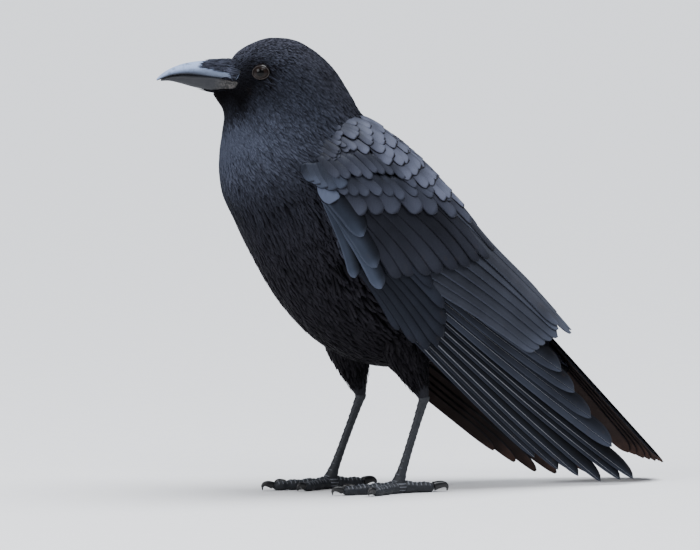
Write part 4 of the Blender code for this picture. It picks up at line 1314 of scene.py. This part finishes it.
def make_foot(side, sign, foot, materials):
    """Four toes with plates on top and swelling pads below, round the ball of the foot. Each
    is a tube along a straight line that closes at its end."""
    shells, plates = [], []
    share, angle = ring_grid(90, 24)
    high = np.sin(angle)
    close = np.sqrt(np.clip(1 - np.clip((share - 0.93) / 0.075, 0, 1) ** 2, 0, 1))
    for label, degrees, length, root, end, pads in TOES:
        heading = math.radians(degrees) * sign
        out = np.array((math.sin(heading), -math.cos(heading), 0.0))
        swell = 0.5 - 0.5 * np.cos(share * TURN * pads)
        taper = root + (end - root) * share
        plate = np.mod(share * int(length / TOE_PLATE), 1.0)
        radius = taper * (0.84 + PAD_SWELL * swell) * np.maximum(close, 0.3)
        radius = radius + TOE_EDGE * plate**2 * np.clip(high * 1.6 - 0.2, 0, 1) * close
        radius = radius * (1 + 0.04 * np.sin(share * 160) * np.clip(-high, 0, 1))
        path = foot + share[:, :1] * length * out
        path[:, 2] = taper[:, 0] * 0.96
        rings = rings_along(path, radius, angle)
        rings[..., 2] = np.maximum(rings[..., 2], OFF_FLOOR)
        shells.append(rings[:, ::-1])
        # Painted highlight on the edges of the plates on top of each toe.
        plates.append((plate * np.clip(high * 2, 0, 1))[:, ::-1])
        make_claw(side, label, path[-1], out, materials["claw"])
    share, angle = ring_grid(24, 24, 0.02, 0.98)
    flat = BALL_RADIUS * np.sin(share * math.pi)
    ball = np.stack((flat * np.cos(angle) * 0.95, flat * np.sin(angle),
                     BALL_HEIGHT[0] - BALL_HEIGHT[1] * np.cos(share * math.pi)), -1)
    ball[..., 2] = np.maximum(ball[..., 2], OFF_FLOOR)
    shells.append(ball[:, ::-1] + foot)
    # Rings of the same painted highlight round the ball of the foot.
    plates.append(0.5 * (1 + np.sin(share * 40)))
    piece = ring_piece(f"{side}_foot_scales", shells, materials["scale"])
    set_number(piece, "plate", np.concatenate([plate.ravel() for plate in plates]))
    declare(piece, "scale", f"{side}_foot")


def make_claw(side, label, root, out, material):
    """A claw from the end of a toe: its line curls through part of a turn, rises a little and
    comes down to a fine point by the floor."""
    reach, thick = CLAWS[label]
    share, angle = ring_grid(40, 24)
    down = share[:, 0]
    line = root + out * 0.2 + np.outer(np.sin(down * CLAW_CURL) * reach / CLAW_CURL, out)
    height = root[2] + 0.8
    line[:, 2] = height + CLAW_RISE * np.sin(down * math.pi) - down**1.6 * (height - CLAW_POINT)
    rings = rings_along(line, thick * (1 - 0.88 * share**1.3), angle, 1.15)
    rings[..., 2] = np.maximum(rings[..., 2], OFF_FLOOR - 0.01)
    piece = ring_piece(f"{side}_{label}_talon", [rings[:, ::-1]], material)
    set_number(piece, "along", share)
    declare(piece, "claw", f"{side}_{label}_claw")


# -------- materials

def spotted(name, scale, dark, light, rough, strength, distance, **constants):
    """A matt finish that mottles from a dark colour to a light one, with bumps to match."""
    shade = Shade(name)
    spots = shade.noise(shade.place(), scale=scale, detail=3.0)
    return shade.finish(shade.blend(spots, dark, light), rough,
                        shade.bump(spots, strength, distance), **constants)


def eye_finish():
    """A black pupil, a dark brown iris with fine rays, and a blackish rim."""
    shade = Shade("dark_brown_iris")
    tilt = shade.number("tilt")
    rays = shade.noise(shade.place(), scale=900.0, detail=3.0)
    rim = rgb(0.004, 0.003, 0.003)
    iris = shade.blend(rays, rim, rgb(0.014, 0.009, 0.007))
    colour = shade.blend(tilt.step(22.0, 27.0), rgb(0.001, 0.001, 0.001), iris)
    colour = shade.blend(tilt.step(50.0, 60.0), colour, rim)
    return shade.finish(colour, 0.18, Specular_IOR_Level=0.13)


def bill_finish():
    """Horn: black, with a painted pale blue grey highlight over the upper side and painted shade
    below, so that the lower half stays nearly black; streaked and grainy, with painted highlight
    flecks on the grain of the upper side, a painted highlight band along the cutting edge,
    painted shade at the upper half's root under the bristles, and chapped skin at the root of the
    lower half."""
    shade = Shade("horn_sheath")
    place = shade.place()
    along, lower = shade.number("along"), shade.number("lower")
    high = shade.number("high") - 1.6 * lower
    grain = shade.noise(place, scale=260.0, detail=5.0)
    streak = shade.noise(place, scale=315.0, detail=3.0)
    # Painted light: the upper side turns pale blue grey as a painted highlight, and what faces
    # down, with all of the lower half, stays nearly black as painted shade.
    colour = shade.blend(high.step(-0.80, 0.25), rgb(0.019, 0.020, 0.024), rgb(0.25, 0.325, 0.50))
    # Pale flecks on the grain, only on the upper side: painted highlight.
    grain_highlight = (grain - 0.45).clamp() * high.step(-0.2, 0.8)
    colour = shade.blend(grain_highlight, colour, rgb(0.34, 0.38, 0.48))
    colour = shade.blend(streak.step(0.5, 0.75) * 0.5, colour, rgb(0.026, 0.026, 0.032))
    # A paler band along the upper half's cutting edge near the root: painted highlight.
    cutting_edge_highlight = along.step(0.55, 0.15) * high.step(-1.0, -0.6) * (1.0 - lower)
    colour = shade.blend(cutting_edge_highlight * (0.1 + 1.1 * grain), colour, rgb(0.13, 0.165, 0.24))
    chapped = shade.noise(place, scale=700.0, detail=4.0).step(0.42, 0.62)
    root = shade.blend(chapped, rgb(0.008, 0.008, 0.008), rgb(0.046, 0.042, 0.041))
    colour = shade.blend(along.step(0.24, 0.06) * lower, colour, root)
    # The root of the upper half, under the bristles, is painted dark: painted shade.
    covered = along.step(0.10, 0.04) * high.step(-0.55, 0.0) * (1.0 - lower)
    colour = shade.blend(covered, colour, rgb(0.008, 0.008, 0.009))
    return shade.finish(colour, 0.45 + 0.25 * grain,
                        shade.bump(grain * 0.6 + streak * 0.4, 0.25, 0.0004),
                        Specular_IOR_Level=0.25)


def scale_finish():
    """Black scales with a fine net between them, dusty, and with a painted highlight along the
    plates' raised edges.
    """
    shade = Shade("leg_scales")
    place = shade.place()
    plate = shade.number("plate")
    cells = shade.node("ShaderNodeTexVoronoi", {"feature": "DISTANCE_TO_EDGE"}, 0, Vector=place,
                       Scale=1100.0)
    dust = shade.noise(place, scale=300.0, detail=4.0)
    colour = shade.blend(dust, rgb(0.005, 0.006, 0.008), rgb(0.022, 0.024, 0.030))
    # Painted highlight along the plates' raised edges.
    colour = shade.blend(plate.step(0.62, 0.95) * 0.75, colour, rgb(0.17, 0.18, 0.21))
    grooves = cells.step(0.0, 0.12)
    return shade.finish(colour, 0.40 + 0.2 * dust, shade.bump(grooves, 0.35, 0.0003),
                        Specular_IOR_Level=0.25)


def claw_finish():
    """Black horn that is a little lighter towards its point."""
    shade = Shade("black_claw")
    grain = shade.noise(shade.place(), scale=500.0, detail=3.0)
    along = shade.number("along")
    colour = shade.blend(along.step(0.2, 1.0), rgb(0.006, 0.006, 0.007), rgb(0.022, 0.021, 0.022))
    return shade.finish(colour, 0.22 + 0.2 * grain, shade.bump(grain, 0.12, 0.0003),
                        Specular_IOR_Level=0.35)


def shaft_finish():
    """A dark shaft that turns pale towards the feather's tip."""
    shade = Shade("pale_shaft")
    along, tint = shade.number("along"), shade.number("tint")
    colour = shade.blend((along.step(0.1, 0.8) * 0.35 + tint * 0.6).clamp(),
                         rgb(0.016, 0.016, 0.020), rgb(0.22, 0.23, 0.26))
    grain = shade.noise(shade.place(), scale=400.0, detail=2.0)
    return shade.finish(colour, 0.28 + 0.1 * grain, shade.bump(grain, 0.1, 0.0003))


def floor_finish():
    """A plain pale floor with a barely visible grain."""
    shade = Shade("pale_floor")
    grain = shade.noise(shade.place(), scale=60.0, detail=3.0)
    colour = shade.blend(grain, rgb(0.70, 0.70, 0.71), rgb(0.74, 0.74, 0.75))
    return shade.finish(colour, 0.7)


# -------- stage

CAMERA_AIM = np.array((-15.4, -51.9, 146.2))       # in the frame's own millimetres
CAMERA_TOWARDS = np.array((0.8898, -0.4534, 0.0523))
CAMERA_DISTANCE = 5000.0
CAMERA_LENS = 378.2
FLOOR_RINGS = (0.6, 2.0, 6.0, 15.0, 40.0)          # radii in metres
# Lights, in metres: name, kind, place, strength, colour, and what only that kind has.
LIGHTS = (
    ("overhead", "SUN", (0.3, 0.7, 2.46), 7.0, (0.93, 0.96, 1.0), {"angle": math.radians(50.0)}),
    ("front", "AREA", (0.5, -2.3, 1.5), 55.0, (0.97, 0.98, 1.0), {"shape": "DISK", "size": 1.5}),
    ("key", "AREA", (2.1, -0.7, 2.3), 25.0, (1.0, 0.98, 0.96), {"shape": "DISK", "size": 1.2}),
)
LIGHT_AIM = (0.0, 0.0, 0.16)


def make_floor():
    """A pale round floor that reaches far beyond every view: rings round a many-sided disc."""
    radius = np.array(FLOOR_RINGS)[:, None] / MM
    turn = np.linspace(0, TURN, 96, endpoint=False)[None, :]
    points = np.stack((radius * np.cos(turn), radius * np.sin(turn), 0 * radius * turn), -1)
    piece = mesh_piece("floor", points - SHIFT,
                       [grid_faces(len(FLOOR_RINGS), 96), np.arange(96)[None, ::-1]],
                       floor_finish())


def aimed(name, data, place, direction):
    """An object that holds a light or the camera, and looks along a direction."""
    holder = bpy.data.objects.new(name, data)
    holder.location = place
    holder.rotation_euler = Vector(direction).to_track_quat("-Z", "Y").to_euler()
    bpy.context.scene.collection.objects.link(holder)
    return holder


def make_lights():
    """A cool even sky, a broad overhead light, and two soft lamps on the bird's left front."""
    world = bpy.data.worlds.new("studio")
    bpy.context.scene.world = world
    world.use_nodes = True
    sky = world.node_tree.nodes["Background"]
    sky.inputs["Color"].default_value = rgb(0.82, 0.88, 1.0)
    sky.inputs["Strength"].default_value = 0.26
    for name, kind, place, strength, colour, settings in LIGHTS:
        light = bpy.data.lights.new(name, kind)
        light.energy, light.color = strength, colour
        for key, value in settings.items():
            setattr(light, key, value)
        aimed(name, light, place, Vector(LIGHT_AIM) - Vector(place))


def make_camera():
    """A long lens at the bird's left front, a little above level."""
    camera = bpy.data.cameras.new("camera")
    camera.lens, camera.sensor_width, camera.clip_end = CAMERA_LENS, 36.0, 50.0
    towards = CAMERA_TOWARDS / np.linalg.norm(CAMERA_TOWARDS)
    place = (CAMERA_AIM + towards * CAMERA_DISTANCE) * MM
    bpy.context.scene.camera = aimed("camera", camera, place, -towards)


def main():
    """Makes every finish, then every piece, the floor, the lights and the camera."""
    materials = {
        "skin": spotted("dark_down", 600.0, rgb(0.006, 0.006, 0.008), rgb(0.016, 0.016, 0.020),
                        0.8, 0.4, 0.0006, Specular_IOR_Level=0.1),
        "lid": spotted("eyelid_skin", 900.0, rgb(0.011, 0.010, 0.010), rgb(0.048, 0.041, 0.039),
                       0.7, 0.4, 0.0003, Specular_IOR_Level=0.1),
        "eye": eye_finish(),
        "bill": bill_finish(),
        "scale": scale_finish(),
        "claw": claw_finish(),
        "shaft": shaft_finish(),
        # Edge colours paint the rims: pale ones are a painted sheen, and the coverts' dark one is a
        # painted shadow line. Ramp and covered_shade set the painted shade on roots and covered
        # webs.
        "contour": plumage("contour_feathers", rgb(0.062, 0.056, 0.064),
                           rgb(0.048, 0.056, 0.082), rgb(0.10, 0.11, 0.15), 0.02, 0.55, 1.06,
                           vary=1.1, streak=0.8, covered_shade=0.3, patch_scale=85.0, worn=0.05, ramp=0.6),
        "covert": plumage("covert_feathers", rgb(0.084, 0.086, 0.116),
                          rgb(0.056, 0.072, 0.110), rgb(0.004, 0.004, 0.006), 0.5, 0.45, 1.15,
                          covered_shade=0.45, rim_start=0.86, worn=0.1, ramp=0.65, streak=0.9),
        "flight": plumage("flight_feathers", rgb(0.066, 0.063, 0.070),
                          rgb(0.050, 0.062, 0.092), rgb(0.12, 0.14, 0.20), 0.10, 0.42, 1.15,
                          covered_shade=0.8),
        "tail": plumage("tail_vanes", rgb(0.040, 0.030, 0.029), rgb(0.040, 0.050, 0.075),
                        rgb(0.06, 0.045, 0.040), 0.05, 0.75, 1.03, covered_shade=0.3),
    }
    make_skin(materials)
    make_lids(materials)
    make_eyes(materials)
    make_bill(materials)
    for side, sign, foot, ankle, _ in LEGS:
        make_leg(side, sign, foot, ankle, materials)
    make_body_coat(materials)
    for side in ("left", "right"):
        make_wing(side, materials)
    make_tail(materials)
    make_floor()
    make_lights()
    make_camera()


main()
